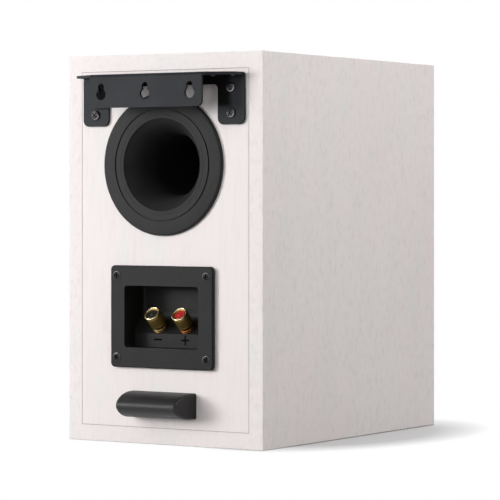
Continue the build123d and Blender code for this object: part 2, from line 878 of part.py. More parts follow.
# ---------------------------------------------------------------- rubber spacer
bumper_low = bumper_height - bumper_foot / 2
nose_y = rear_y + bracket_reach
with BuildPart() as wall_bumper:
    with BuildSketch(Plane.YZ):
        with BuildLine():
            straight_y = rear_y + bumper_straight
            low = (straight_y, bumper_low)
            high = (straight_y, bumper_low + bumper_foot)
            Polyline(low, (rear_y, bumper_low), (rear_y, bumper_low + bumper_foot), high)
            EllipticalCenterArc(
                (straight_y, bumper_height),
                bracket_reach - bumper_straight,
                bumper_foot / 2,
                start_angle=-90,
                arc_size=180,
            )
        make_face()
    extrude(amount=bumper_width / 2, both=True)
    with BuildSketch(Plane.XY):
        closed([
            (-bumper_width / 2, rear_y),
            (bumper_width / 2, rear_y),
            (bumper_nose_width / 2, nose_y),
            (-bumper_nose_width / 2, nose_y),
        ])
    extrude(amount=cabinet_height, mode=Mode.INTERSECT)
    ends_by_side = wall_bumper.faces().sort_by(Axis.X)
    end_edges = (ends_by_side[0].edges() + ends_by_side[-1].edges()).group_by(Axis.Y)[1:]
    fillet([edge for group in end_edges for edge in group], bumper_end_round)

# ---------------------------------------------------------------- woofer, fixed parts
with BuildPart() as woofer_gasket:
    with BuildSketch(woofer_plane):
        closed(
            inward(
                *ring(
                    woofer_neck_radius + fit_gap,
                    woofer_flange_radius,
                    woofer_flange_thickness,
                    woofer_rebate,
                )
            )
        )
    revolve(axis=woofer_axis)
    with Locations(front_face):
        with Locations((0, woofer_height)):
            with PolarLocations(woofer_screw_circle, woofer_screw_count, start_angle=30):
                Cylinder(screw_shank_radius, 3 * woofer_rebate, mode=Mode.SUBTRACT)

spoke_reach = 2 * (basket_taper + woofer_skirt_wall + cut_over)
skirt_inner_neck = woofer_neck_radius - woofer_skirt_wall
skirt_inner_waist = basket_waist_radius - woofer_skirt_wall
spider_seat_radius = skirt_inner_waist - spider_seat_width
with BuildPart() as woofer_basket:
    with BuildSketch(woofer_plane):
        closed(inward(
            (woofer_flange_radius, 0),
            (woofer_flange_radius, woofer_flange_thickness),
            (woofer_neck_radius, woofer_flange_thickness),
            (woofer_neck_radius, basket_neck_depth),
            (basket_waist_radius, basket_waist_depth),
            (basket_waist_radius, basket_back),
            (basket_bore, basket_back),
            (basket_bore, basket_back - basket_floor),
            (spider_seat_radius, basket_back - basket_floor),
            (spider_seat_radius, spider_seat_depth),
            (skirt_inner_waist, spider_seat_depth),
            (skirt_inner_waist, basket_waist_depth - basket_kink),
            (skirt_inner_neck, basket_neck_depth),
            (skirt_inner_neck, woofer_seat_depth),
            (woofer_seat_radius, woofer_seat_depth),
            (woofer_seat_radius, 0),
        ))
    revolve(axis=woofer_axis)
    fillet(woofer_basket.edges().filter_by(GeomType.CIRCLE).group_by(Axis.Y)[0], rim_round)
    # Windows between the spokes of the skirt.
    window_front = basket_neck_depth + window_front_margin
    window_back = basket_waist_depth - window_back_margin
    with BuildSketch(front_face.offset(-window_front)):
        with Locations((0, woofer_height)):
            Circle(woofer_neck_radius + cut_over)
            Circle(skirt_inner_waist, mode=Mode.SUBTRACT)
            with PolarLocations(basket_waist_radius, spoke_count, start_angle=30):
                Rectangle(spoke_reach, spoke_width, mode=Mode.SUBTRACT)
    extrude(amount=window_front - window_back, mode=Mode.SUBTRACT)
    with Locations(front_face):
        with Locations((0, woofer_height)):
            with PolarLocations(woofer_screw_circle, woofer_screw_count, start_angle=30):
                Cylinder(screw_shank_radius, 3 * woofer_rebate, mode=Mode.SUBTRACT)

with BuildPart() as woofer_trim:
    with BuildSketch(woofer_plane):
        closed(inward(
            (woofer_trim_bore, woofer_seat_depth - surround_lip),
            (woofer_seat_radius - fit_gap, woofer_seat_depth - surround_lip),
            (woofer_seat_radius - fit_gap, woofer_trim_front),
            (woofer_trim_bore + trim_bevel_width, woofer_trim_front),
            (woofer_trim_bore, woofer_trim_front + trim_bevel_depth),
        ))
    revolve(axis=woofer_axis)

with BuildPart() as woofer_screws:
    with Locations(front_face):
        with Locations((0, woofer_height)):
            with PolarLocations(woofer_screw_circle, woofer_screw_count, start_angle=30):
                Cylinder(
                    pan_head_radius,
                    pan_head_height / 2,
                    align=(Align.CENTER, Align.CENTER, Align.MIN),
                )
                Cylinder(
                    screw_shank_radius,
                    baffle_screw_length,
                    align=(Align.CENTER, Align.CENTER, Align.MAX),
                )

with BuildPart() as woofer_top_plate:
    with BuildSketch(woofer_plane):
        plate_section = ring(woofer_gap_radius, woofer_plate_radius, motor_front, woofer_magnet_front)
        closed(inward(*plate_section))
    revolve(axis=woofer_axis)

with BuildPart() as woofer_magnet:
    with BuildSketch(woofer_plane):
        magnet_section = ring(
            woofer_magnet_bore, woofer_magnet_radius, woofer_magnet_front, woofer_yoke_front
        )
        closed(inward(*magnet_section))
    revolve(axis=woofer_axis)
    magnet_circles = woofer_magnet.edges().filter_by(GeomType.CIRCLE)
    fillet(magnet_circles.sort_by(SortBy.RADIUS)[-2:], woofer_magnet_round)

with BuildPart() as woofer_yoke:
    with BuildSketch(woofer_plane):
        closed(inward(
            (woofer_vent_radius, motor_front),
            (woofer_pole_radius, motor_front),
            (woofer_pole_radius, woofer_yoke_front),
            (woofer_plate_radius, woofer_yoke_front),
            (woofer_plate_radius, woofer_back),
            (woofer_vent_radius, woofer_back),
        ))
    revolve(axis=woofer_axis)

# ---------------------------------------------------------------- woofer, moving and flexing parts
cone_slope = (cone_neck_depth - cone_rim_depth) / (cone_outer - woofer_former_radius)


def cone_depth(radius):
    """Depth of the straight-sided cone's front at a radius."""
    return cone_rim_depth + (cone_outer - radius) * cone_slope


with BuildPart() as woofer_surround:
    with BuildSketch(woofer_plane):
        with BuildLine():
            roll = (roll_outer - roll_inner) / 2
            lip_front = woofer_seat_depth - surround_lip
            lip_back = woofer_seat_depth
            glue_inner = roll_inner - surround_glue_width
            roll_middle = (roll_inner + roll_outer) / 2
            inner_front, outer_front, outer_back, inner_back = inward(
                (roll_inner, lip_front),
                (roll_outer, lip_front),
                (roll_outer - surround_lip, lip_back),
                (roll_inner + surround_lip, lip_back),
            )
            crown_front, crown_back = inward(
                (roll_middle, lip_front - roll),
                (roll_middle, lip_front - roll + surround_lip),
            )
            ThreePointArc(inner_front, crown_front, outer_front)
            Polyline(
                outer_front,
                *inward((surround_outer, lip_front), (surround_outer, lip_back)),
                outer_back,
            )
            ThreePointArc(outer_back, crown_back, inner_back)
            Polyline(
                inner_back,
                *inward(
                    (cone_outer, lip_back),
                    (glue_inner, cone_depth(glue_inner)),
                    (glue_inner, cone_depth(glue_inner) - surround_lip),
                ),
                inner_front,
            )
        make_face()
    revolve(axis=woofer_axis)

with BuildPart() as woofer_cone:
    with BuildSketch(woofer_plane):
        closed(inward(
            (cone_outer, cone_rim_depth),
            (cone_outer, cone_rim_depth + cone_paper),
            (woofer_former_radius + cone_paper, cone_neck_depth + cone_paper),
            (woofer_former_radius + cone_paper, cone_neck_depth + cone_collar_height),
            (woofer_former_radius, cone_neck_depth + cone_collar_height),
            (woofer_former_radius, cone_neck_depth),
        ))
    revolve(axis=woofer_axis)

with BuildPart() as woofer_dust_cap:
    with BuildSketch(woofer_plane):
        with BuildLine():
            apex = cone_depth(dust_cap_radius) - dust_cap_rise
            glue_radius = dust_cap_radius - dust_cap_skin
            inner_rise = cone_depth(glue_radius) - apex - dust_cap_skin
            outer_rim, outer_mid, outer_apex = inward(
                (dust_cap_radius, cone_depth(dust_cap_radius)),
                cap_middle(dust_cap_radius, dust_cap_rise, apex),
                (0, apex),
            )
            inner_rim, inner_mid, inner_apex = inward(
                (glue_radius, cone_depth(glue_radius)),
                cap_middle(glue_radius, inner_rise, apex + dust_cap_skin),
                (0, apex + dust_cap_skin),
            )
            ThreePointArc(outer_rim, outer_mid, outer_apex)
            Line(outer_apex, inner_apex)
            ThreePointArc(inner_apex, inner_mid, inner_rim)
            Line(inner_rim, outer_rim)
        make_face()
    revolve(axis=woofer_axis)

with BuildPart() as woofer_former:
    with BuildSketch(woofer_plane):
        former_inner = woofer_former_radius - woofer_former_wall
        former_section = ring(
            former_inner, woofer_former_radius, woofer_former_front, woofer_former_back
        )
        closed(inward(*former_section))
    revolve(axis=woofer_axis)

with BuildPart() as woofer_coil:
    with BuildSketch(woofer_plane):
        coil_section = ring(
            woofer_former_radius, woofer_coil_radius, woofer_coil_front, woofer_coil_back
        )
        closed(inward(*coil_section))
    revolve(axis=woofer_axis)

# Corrugated cloth disc: rings of equal arcs, turned alternately forwards and backwards.
with BuildPart() as woofer_spider:
    with BuildSketch(woofer_plane):
        with BuildLine():
            wave_start = woofer_former_radius + spider_glue_width
            spider_waves = round((spider_seat_radius - wave_start) / spider_wave_pitch)
            wave_pitch = (spider_seat_radius - wave_start) / spider_waves
            front_edge = spider_seat_depth - spider_cloth
            for level in (front_edge, spider_seat_depth):
                for wave in range(spider_waves):
                    near = wave_start + wave * wave_pitch
                    height = spider_wave_height * (1 if wave % 2 else -1)
                    crest = (near + wave_pitch / 2, level + height)
                    ThreePointArc(*inward((near, level), crest, (near + wave_pitch, level)))
                Line(*inward((woofer_former_radius, level), (wave_start, level)))
                Line(*inward((spider_seat_radius, level), (skirt_inner_waist - fit_gap, level)))
            for end in (woofer_former_radius, skirt_inner_waist - fit_gap):
                Line(*inward((end, front_edge), (end, spider_seat_depth)))
        make_face()
    revolve(axis=woofer_axis)

# ---------------------------------------------------------------- tweeter
with BuildPart() as tweeter_gasket:
    with BuildSketch(tweeter_plane):
        closed(
            inward(
                *ring(
                    tweeter_boss_radius + fit_gap,
                    tweeter_flange_radius,
                    tweeter_flange_thickness,
                    tweeter_rebate,
                )
            )
        )
    revolve(axis=tweeter_axis)
    with Locations(front_face):
        with Locations((0, tweeter_height)):
            with PolarLocations(tweeter_screw_circle, tweeter_screw_count, start_angle=45):
                Cylinder(screw_shank_radius, 3 * tweeter_rebate, mode=Mode.SUBTRACT)

with BuildPart() as tweeter_faceplate:
    with BuildSketch(tweeter_plane):
        with BuildLine():
            throat, mouth = inward((tweeter_throat_radius, tweeter_throat_depth), (tweeter_horn_radius, 0))
            horn_width = tweeter_horn_radius - tweeter_throat_radius
            horn_middle = inward((
                tweeter_throat_radius + horn_width * tweeter_horn_bow,
                tweeter_throat_depth * tweeter_horn_bow,
            ))[0]
            ThreePointArc(throat, horn_middle, mouth)
            Polyline(
                mouth,
                *inward(
                    (tweeter_flange_radius, 0),
                    (tweeter_flange_radius, tweeter_flange_thickness),
                    (tweeter_boss_radius, tweeter_flange_thickness),
                    (tweeter_boss_radius, tweeter_boss_depth),
                    (tweeter_throat_radius, tweeter_boss_depth),
                ),
                throat,
            )
        make_face()
    revolve(axis=tweeter_axis)
    front_circles = tweeter_faceplate.edges().filter_by(GeomType.CIRCLE).group_by(Axis.Y)[0]
    fillet(front_circles.sort_by(SortBy.RADIUS)[-1:], rim_round)
    with Locations(front_face):
        with Locations((0, tweeter_height)):
            with PolarLocations(tweeter_screw_circle, tweeter_screw_count, start_angle=45):
                Cone(
                    screw_shank_radius,
                    flat_head_radius,
                    flat_head_height,
                    align=(Align.CENTER, Align.CENTER, Align.MAX),
                    mode=Mode.SUBTRACT,
                )
                Cylinder(screw_shank_radius, 3 * tweeter_rebate, mode=Mode.SUBTRACT)

with BuildPart() as tweeter_screws:
    with Locations(front_face):
        with Locations((0, tweeter_height)):
            with PolarLocations(tweeter_screw_circle, tweeter_screw_count, start_angle=45):
                Cone(
                    screw_shank_radius,
                    flat_head_radius,
                    flat_head_height,
                    align=(Align.CENTER, Align.CENTER, Align.MAX),
                )
                Cylinder(
                    screw_shank_radius,
                    baffle_screw_length,
                    align=(Align.CENTER, Align.CENTER, Align.MAX),
                )

with BuildPart() as tweeter_top_plate:
    with BuildSketch(tweeter_plane):
        plate_section = ring(
            tweeter_gap_radius, tweeter_motor_radius, tweeter_boss_depth, tweeter_magnet_front
        )
        closed(inward(*plate_section))
    revolve(axis=tweeter_axis)

with BuildPart() as tweeter_magnet:
    with BuildSketch(tweeter_plane):
        magnet_section = ring(
            tweeter_magnet_bore, tweeter_motor_radius, tweeter_magnet_front, tweeter_yoke_front
        )
        closed(inward(*magnet_section))
    revolve(axis=tweeter_axis)

with BuildPart() as tweeter_yoke:
    with BuildSketch(tweeter_plane):
        closed(inward(
            (tweeter_vent_radius, tweeter_boss_depth),
            (tweeter_pole_radius, tweeter_boss_depth),
            (tweeter_pole_radius, tweeter_yoke_front),
            (tweeter_motor_radius, tweeter_yoke_front),
            (tweeter_motor_radius, tweeter_back),
            (tweeter_vent_radius, tweeter_back),
        ))
    revolve(axis=tweeter_axis)

with BuildPart() as tweeter_chamber:
    with BuildSketch(tweeter_plane):
        closed(inward(
            (chamber_radius - chamber_wall, tweeter_back),
            (chamber_radius, tweeter_back),
            (chamber_radius, tweeter_back + chamber_depth),
            (0, tweeter_back + chamber_depth),
            (0, tweeter_back + chamber_depth - chamber_wall),
            (chamber_radius - chamber_wall, tweeter_back + chamber_depth - chamber_wall),
        ))
    revolve(axis=tweeter_axis)
    fillet(tweeter_chamber.edges().filter_by(GeomType.CIRCLE).group_by(Axis.Y)[-1], chamber_wall * 2)

with BuildPart() as tweeter_dome:
    with BuildSketch(tweeter_plane):
        with BuildLine():
            dome_top = dome_base_depth - dome_rise
            outer_rim, outer_mid, outer_apex = inward(
                (dome_radius, dome_base_depth),
                cap_middle(dome_radius, dome_rise, dome_top),
                (0, dome_top),
            )
            inner_rim, inner_mid, inner_apex = inward(
                (dome_radius - dome_skin, dome_base_depth),
                cap_middle(dome_radius - dome_skin, dome_rise - dome_skin, dome_top + dome_skin),
                (0, dome_top + dome_skin),
            )
            ThreePointArc(outer_rim, outer_mid, outer_apex)
            Line(outer_apex, inner_apex)
            ThreePointArc(inner_apex, inner_mid, inner_rim)
            Line(inner_rim, outer_rim)
        make_face()
    revolve(axis=tweeter_axis)

with BuildPart() as tweeter_former:
    with BuildSketch(tweeter_plane):
        former_inner = dome_radius - tweeter_former_wall
        former_section = ring(former_inner, dome_radius, dome_base_depth, tweeter_former_back)
        closed(inward(*former_section))
    revolve(axis=tweeter_axis)

with BuildPart() as tweeter_coil:
    with BuildSketch(tweeter_plane):
        coil_section = ring(dome_radius, tweeter_coil_radius, tweeter_coil_front, tweeter_coil_back)
        closed(inward(*coil_section))
    revolve(axis=tweeter_axis)

with BuildPart() as tweeter_surround:
    with BuildSketch(tweeter_plane):
        with BuildLine():
            lip_low = tweeter_boss_depth
            lip_high = lip_low - tweeter_lip
            roll = (tweeter_roll_outer - dome_radius) / 2
            roll_middle = dome_radius + roll
            inner_front, outer_front, outer_back, inner_back, foot = inward(
                (dome_radius, lip_high),
                (tweeter_roll_outer, lip_high),
                (tweeter_roll_outer - tweeter_lip, lip_low),
                (dome_radius + tweeter_lip, lip_low),
                (dome_radius, lip_low),
            )
            crown_front, crown_back = inward(
                (roll_middle, lip_high - roll),
                (roll_middle, lip_high - roll + tweeter_lip),
            )
            ThreePointArc(inner_front, crown_front, outer_front)
            Polyline(
                outer_front,
                *inward((tweeter_lip_outer, lip_high), (tweeter_lip_outer, lip_low)),
                outer_back,
            )
            ThreePointArc(outer_back, crown_back, inner_back)
            Polyline(inner_back, foot, inner_front)
        make_face()
    revolve(axis=tweeter_axis)

# ---------------------------------------------------------------- crossover


def board_corners():
    """Screw places at the corners of the crossover board."""
    return GridLocations(board_width - 2 * board_inset, board_length - 2 * board_inset, 2, 2)


with BuildPart() as crossover_board:
    with BuildSketch(Plane.XY.offset(board_low)):
        with Locations((0, board_middle)):
            RectangleRounded(board_width, board_length, board_corner)
            with board_corners():
                Circle(screw_shank_radius, mode=Mode.SUBTRACT)
    extrude(amount=board_thickness)

with BuildPart() as board_standoffs:
    with BuildSketch(Plane.XY.offset(wall)):
        with Locations((0, board_middle)):
            with board_corners():
                Circle(standoff_radius)
                Circle(screw_shank_radius, mode=Mode.SUBTRACT)
    extrude(amount=standoff_height)

with BuildPart() as board_screws:
    with Locations(Plane.XY.offset(board_top)):
        with Locations((0, board_middle)):
            with board_corners():
                Cylinder(pan_head_radius, pan_head_height, align=(Align.CENTER, Align.CENTER, Align.MIN))
                Cylinder(
                    screw_shank_radius,
                    board_thickness + standoff_height,
                    align=(Align.CENTER, Align.CENTER, Align.MAX),
                )
    fillet(board_screws.edges().filter_by(GeomType.CIRCLE).group_by(Axis.Z)[-1], pan_head_round)


def air_coil(side, side_margin, end_margin, radius, bore, height):
    """Copper winding on a flanged bobbin, at the board's front corner on this side."""
    flange = radius + bobbin_lip
    across = side * (board_width / 2 - side_margin - flange)
    along = board_middle - board_length / 2 + end_margin + flange
    on_board = (Align.CENTER, Align.CENTER, Align.MIN)
    with BuildPart() as coil:
        with Locations((across, along, board_top)):
            Cylinder(radius, height, align=on_board)
            Cylinder(flange, bobbin_thickness, align=on_board)
        with Locations((across, along, board_top + height - bobbin_thickness)):
            Cylinder(flange, bobbin_thickness, align=on_board)
        with Locations((across, along, board_top)):
            Cylinder(bore, height, align=on_board, mode=Mode.SUBTRACT)
    return coil


bass_coil = air_coil(
    -1, bass_coil_side_margin, bass_coil_end_margin, bass_coil_radius, bass_coil_bore, bass_coil_height
)
treble_coil = air_coil(
    1,
    treble_coil_side_margin,
    treble_coil_end_margin,
    treble_coil_radius,
    treble_coil_bore,
    treble_coil_height,
)

board_back = board_middle + board_length / 2
capacitors_x = board_width / 2 - capacitor_side_margin - capacitor_length / 2
capacitors_y = board_back - capacitor_end_margin - capacitor_radius
with BuildPart() as capacitors:
    for row in (0, 1):
        with Locations((capacitors_x, capacitors_y - row * capacitor_pitch, board_top + capacitor_radius)):
            Cylinder(capacitor_radius, capacitor_length, rotation=(0, 90, 0))

resistors_x = -board_width / 2 + resistor_side_margin + resistor_length / 2
resistors_y = board_back - resistor_end_margin - resistor_side / 2
with BuildPart() as resistors:
    for row in (0, 1):
        with Locations((resistors_x, resistors_y - row * resistor_pitch, board_top + resistor_side / 2)):
            Box(resistor_length, resistor_side, resistor_side)

# ---------------------------------------------------------------- files
pieces = {
    "cabinet_bottom": cabinet_bottom,
    "cabinet_left": cabinet_left,
    "cabinet_top": cabinet_top,
    "cabinet_right": cabinet_right,
    "rear_panel": rear_panel,
    "front_baffle": front_baffle,
    "brace": brace,
    "wall_lining": wall_lining,
    "port_flange": port_flange,
    "port_tube": port_tube,
    "port_inner_flare": port_inner_flare,
    "terminal_cup": terminal_cup,
    "cup_gasket": cup_gasket,
    "cup_screws": cup_screws,
    "black_post_stud": black_post_stud,
    "red_post_stud": red_post_stud,
    "black_clamp_washer": black_clamp_washer,
    "red_clamp_washer": red_clamp_washer,
    "black_knob": black_knob,
    "red_knob": red_knob,
    "black_plug": black_plug,
    "red_plug": red_plug,
    "post_insulators": post_insulators,
    "solder_lugs": solder_lugs,
    "post_nuts": post_nuts,
    "wall_bracket": wall_bracket,
    "bracket_screws": bracket_screws,
    "wall_bumper": wall_bumper,
    "woofer_gasket": woofer_gasket,
    "woofer_basket": woofer_basket,
    "woofer_trim": woofer_trim,
    "woofer_screws": woofer_screws,
    "woofer_top_plate": woofer_top_plate,
    "woofer_magnet": woofer_magnet,
    "woofer_yoke": woofer_yoke,
    "woofer_surround": woofer_surround,
    "woofer_cone": woofer_cone,
    "woofer_dust_cap": woofer_dust_cap,
    "woofer_former": woofer_former,
    "woofer_coil": woofer_coil,
    "woofer_spider": woofer_spider,
    "tweeter_gasket": tweeter_gasket,
    "tweeter_faceplate": tweeter_faceplate,
    "tweeter_screws": tweeter_screws,
    "tweeter_top_plate": tweeter_top_plate,
    "tweeter_magnet": tweeter_magnet,
    "tweeter_yoke": tweeter_yoke,
    "tweeter_chamber": tweeter_chamber,
    "tweeter_dome": tweeter_dome,
    "tweeter_former": tweeter_former,
    "tweeter_coil": tweeter_coil,
    "tweeter_surround": tweeter_surround,
    "crossover_board": crossover_board,
    "board_standoffs": board_standoffs,
    "board_screws": board_screws,
    "bass_coil": bass_coil,
    "treble_coil": treble_coil,
    "capacitors": capacitors,
    "resistors": resistors,
}
os.makedirs("parts", exist_ok=True)
for name, piece in pieces.items():
    piece.part.label = name
    export_step(piece.part, f"parts/{name}.step")
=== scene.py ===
import json
from math import atan, cos, pi, radians, sin, tau

import bmesh
import bpy
import numpy as np
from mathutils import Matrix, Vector


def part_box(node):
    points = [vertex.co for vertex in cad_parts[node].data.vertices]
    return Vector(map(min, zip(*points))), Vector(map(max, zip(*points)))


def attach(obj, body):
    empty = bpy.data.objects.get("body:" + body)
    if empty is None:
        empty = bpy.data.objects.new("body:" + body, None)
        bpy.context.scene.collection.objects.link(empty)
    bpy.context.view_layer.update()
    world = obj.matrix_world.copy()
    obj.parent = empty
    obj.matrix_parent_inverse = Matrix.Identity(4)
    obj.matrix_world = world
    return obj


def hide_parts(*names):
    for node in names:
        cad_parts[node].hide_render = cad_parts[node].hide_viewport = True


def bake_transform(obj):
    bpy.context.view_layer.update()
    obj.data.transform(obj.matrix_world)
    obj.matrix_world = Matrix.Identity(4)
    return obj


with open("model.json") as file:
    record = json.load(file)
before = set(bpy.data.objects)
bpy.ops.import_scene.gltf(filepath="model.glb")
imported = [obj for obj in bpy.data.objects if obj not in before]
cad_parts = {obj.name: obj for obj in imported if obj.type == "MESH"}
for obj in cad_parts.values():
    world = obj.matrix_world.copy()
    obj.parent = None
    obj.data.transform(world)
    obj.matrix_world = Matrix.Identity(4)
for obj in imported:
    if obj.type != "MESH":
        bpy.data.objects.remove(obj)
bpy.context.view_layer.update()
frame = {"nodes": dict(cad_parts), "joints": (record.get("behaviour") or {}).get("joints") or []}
nodes = frame["nodes"]
mm = 0.001
print("frame loaded:", len(nodes), "nodes")


def middleOf(node):
    # Middle of a CAD piece's box, in metres.
    low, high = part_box(node)
    return np.array((low + high) / 2)


def halfOf(node):
    # Half of that box's three sizes.
    low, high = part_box(node)
    return np.array((high - low) / 2)


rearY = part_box("rear_panel")[1].y
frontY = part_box("front_baffle")[0].y


class Signal:
    # One socket's value in an expression; each operator adds a Math node.
    def __init__(self, finish, socket):
        self.finish = finish
        self.socket = socket

    def maths(self, operation, *values, clamp=False):
        inputs = dict(enumerate(values))
        return self.finish.add("ShaderNodeMath", inputs, operation=operation, use_clamp=clamp)

    def __add__(self, other):
        return self.maths("ADD", self, other)

    def __radd__(self, other):
        return self.maths("ADD", other, self)

    def __sub__(self, other):
        return self.maths("SUBTRACT", self, other)

    def __rsub__(self, other):
        return self.maths("SUBTRACT", other, self)

    def __mul__(self, other):
        return self.maths("MULTIPLY", self, other)

    def __truediv__(self, other):
        return self.maths("DIVIDE", self, other)

    def clamped(self):
        return self.maths("ADD", self, 0.0, clamp=True)

    def wave(self):
        return self.maths("SINE", self)

    def size(self):
        return self.maths("ABSOLUTE", self)

    def above(self, limit, softness):
        # 0 below the limit, 1 above it, with a straight ramp between.
        return ((self - limit) / softness).clamped()


class Shading:
    # A tree of nodes, emptied, with the methods that add a node to it.
    def __init__(self, owner):
        owner.use_nodes = True
        self.tree = owner.node_tree
        self.tree.nodes.clear()

    def add(self, kind, inputs=None, output=0, **settings):
        made = self.tree.nodes.new(kind)
        for word, value in settings.items():
            setattr(made, word, value)
        for word, value in (inputs or {}).items():
            if isinstance(value, Signal):
                self.tree.links.new(value.socket, made.inputs[word])
            else:
                made.inputs[word].default_value = value
        return Signal(self, made.outputs[output])

    def rays(self, *kinds):
        # 1 for a ray of any of these kinds, 0 for the rest.
        found = [self.add("ShaderNodeLightPath", output=f"Is {kind} Ray") for kind in kinds]
        return sum(found[1:], found[0]).clamped()

    def finishWith(self, kind, surface):
        self.tree.links.new(surface.socket, self.tree.nodes.new(kind).inputs[0])


class Finish(Shading):
    # One material: a Principled shader, its constants, and the nodes that drive it.
    def __init__(self, name, **constants):
        self.material = bpy.data.materials.new(name)
        super().__init__(self.material)
        self.output = self.tree.nodes.new("ShaderNodeOutputMaterial")
        self.shader = self.tree.nodes.new("ShaderNodeBsdfPrincipled")
        self.tree.links.new(self.shader.outputs[0], self.output.inputs[0])
        for word, value in constants.items():
            self.shader.inputs[socketNames[word]].default_value = value

    def place(self, stretch=(1, 1, 1)):
        # Object coordinates in metres, times a factor along each axis.
        own = self.add("ShaderNodeTexCoord", output="Object")
        return self.add("ShaderNodeMapping", {"Vector": own, "Scale": stretch})

    def noise(self, scale, detail=3.0, rough=0.55, stretch=(1, 1, 1), warp=0.0):
        inputs = {"Vector": self.place(stretch), "Scale": scale, "Detail": detail,
                  "Roughness": rough, "Distortion": warp}
        return self.add("ShaderNodeTexNoise", inputs)

    def cells(self, scale):
        return self.add("ShaderNodeTexVoronoi", {"Vector": self.place(), "Scale": scale})

    def axis(self, name):
        return self.add("ShaderNodeSeparateXYZ", {0: self.place()}, output=name)

    def weave(self, pitch):
        # Product of two crossed sine waves, brought to 0 to 1; pitch is in waves a metre.
        across = (self.axis("X") * (pitch * tau)).wave()
        upward = (self.axis("Z") * (pitch * tau)).wave()
        return across * upward * 0.5 + 0.5

    def mix(self, mask, low, high):
        return self.add("ShaderNodeMix", {0: mask, 6: low, 7: high}, output=2, data_type="RGBA")

    def drive(self, **sockets):
        for word, value in sockets.items():
            self.tree.links.new(value.socket, self.shader.inputs[socketNames[word]])
        return self

    def bump(self, height, depth, strength=1.0):
        # depth is in metres for a height that goes from 0 to 1.
        inputs = {"Strength": strength, "Distance": depth, "Height": height}
        self.drive(normal=self.add("ShaderNodeBump", inputs))
        return self


socketNames = {
    "colour": "Base Color", "roughness": "Roughness", "metallic": "Metallic", "coat": "Coat Weight",
    "coatRoughness": "Coat Roughness", "specular": "Specular IOR Level", "sheen": "Sheen Weight",
    "sheenRoughness": "Sheen Roughness", "normal": "Normal",
}
white = (1.0, 1.0, 1.0, 1.0)


def paint(red, green, blue):
    # Linear colour from the 0 to 255 numbers of a paint chart.
    chart = np.array((red, green, blue)) / 255
    linear = np.where(chart <= 0.04045, chart / 12.92, ((chart + 0.055) / 1.055) ** 2.4)
    return (*linear.tolist(), 1.0)


def tinted(shade, factor, lift=0):
    # The paint of a shade whose numbers are first multiplied, then raised.
    return paint(*(min(255, int(tone * factor) + lift) for tone in shade))


def dress(finish, *names):
    # Puts the finish on CAD pieces in place of their plain one.
    for name in names:
        slots = nodes[name].data.materials
        slots.clear()
        slots.append(finish.material)


whiteFoil = {
    "colour": paint(243, 236, 235), "warm": paint(243, 234, 233), "cool": paint(237, 235, 233),
    "streak": paint(230, 223, 222), "roughness": 0.42, "grainDepth": 0.06 * mm,
    "fleckScale": 1100.0, "cloudScale": 9.0, "driftScale": 34.0, "grainShare": 0.34, "fleckShare": 0.22,
}
# painted shade: a dark hair line round the rear panel's rim, standing in for the shadow in the gap to the
# frame
panelGapShade = {"piece": "rear_panel", "width": 0.6 * mm, "soft": 0.15 * mm, "depth": 0.65,
              "dustAndGapShade": paint(150, 144, 142)}


def foilFinish(name, along, tone, scale=420.0, length=0.09, joint=None):
    # Satin foil with a fine broken grain along one axis and slow warm and cool clouds. Given a joint, a
    # painted shade darkens a hair line along the joint at the piece's rim, standing in for the gap's shadow.
    finish = Finish(name, specular=0.35)
    stretch, dashes = [1.0, 1.0, 1.0], [1.0, 1.0, 1.0]
    stretch[along], dashes[along] = length, length * 0.5
    grain = finish.noise(scale, 4.0, 0.62, stretch)
    flecks = finish.noise(whiteFoil["fleckScale"], 2.0, 0.5, dashes)
    clouds = finish.noise(whiteFoil["cloudScale"], 2.0, 0.5, (1.0, 1.0, 0.55))
    drift = finish.noise(whiteFoil["driftScale"], 3.0, 0.6, (1.0, 1.0, 0.4))
    base = finish.mix(clouds.above(0.44, 0.22), whiteFoil["colour"], whiteFoil["warm"])
    base = finish.mix(drift.above(0.5, 0.22), base, whiteFoil["cool"])
    streaks = grain.above(0.50, 0.16) * whiteFoil["grainShare"]
    dots = flecks.above(0.54, 0.12) * whiteFoil["fleckShare"]
    colour = finish.mix((streaks + dots) * tone, base, whiteFoil["streak"])
    if joint:
        middle, half = middleOf(joint["piece"]), halfOf(joint["piece"]) - joint["width"]
        across = (finish.axis("X") - middle[0]).size().above(half[0], joint["soft"])
        upward = (finish.axis("Z") - middle[2]).size().above(half[2], joint["soft"])
        rim = (across + upward).clamped() * joint["depth"]
        colour = finish.mix(rim, colour, joint["dustAndGapShade"])
    finish.drive(colour=colour, roughness=whiteFoil["roughness"] + grain * 0.12)
    return finish.bump(grain * 0.7 + flecks * 0.3, whiteFoil["grainDepth"], 0.55)


upright = foilFinish("whiteFoilUpright", along=2, tone=1.7, scale=230.0, length=0.55)
level = foilFinish("whiteFoilLevel", along=1, tone=1.1, scale=230.0, length=0.55)
dress(upright, "cabinet_left", "cabinet_right")
dress(level, "cabinet_top", "cabinet_bottom")
dress(foilFinish("whiteFoilRear", along=2, tone=0.85, joint=panelGapShade), "rear_panel")
dress(foilFinish("whiteFoilBaffle", along=2, tone=0.8, scale=400.0, length=0.15), "front_baffle")


def boardFinish():
    # Pressed wood fibre: fine brown flecks over a plain tan.
    finish = Finish("pressedFibre", specular=0.25)
    fibres = finish.noise(900.0, 4.0, 0.65, (1.0, 0.4, 1.0))
    blotches = finish.noise(60.0, 2.0)
    tan = finish.mix(blotches.above(0.4, 0.3), paint(176, 146, 112), paint(160, 130, 98))
    finish.drive(colour=finish.mix(fibres.above(0.5, 0.2), tan, paint(132, 103, 74)),
                 roughness=0.75 + fibres * 0.15)
    return finish.bump(fibres, 0.12 * mm, 0.6)


dress(boardFinish(), "brace")


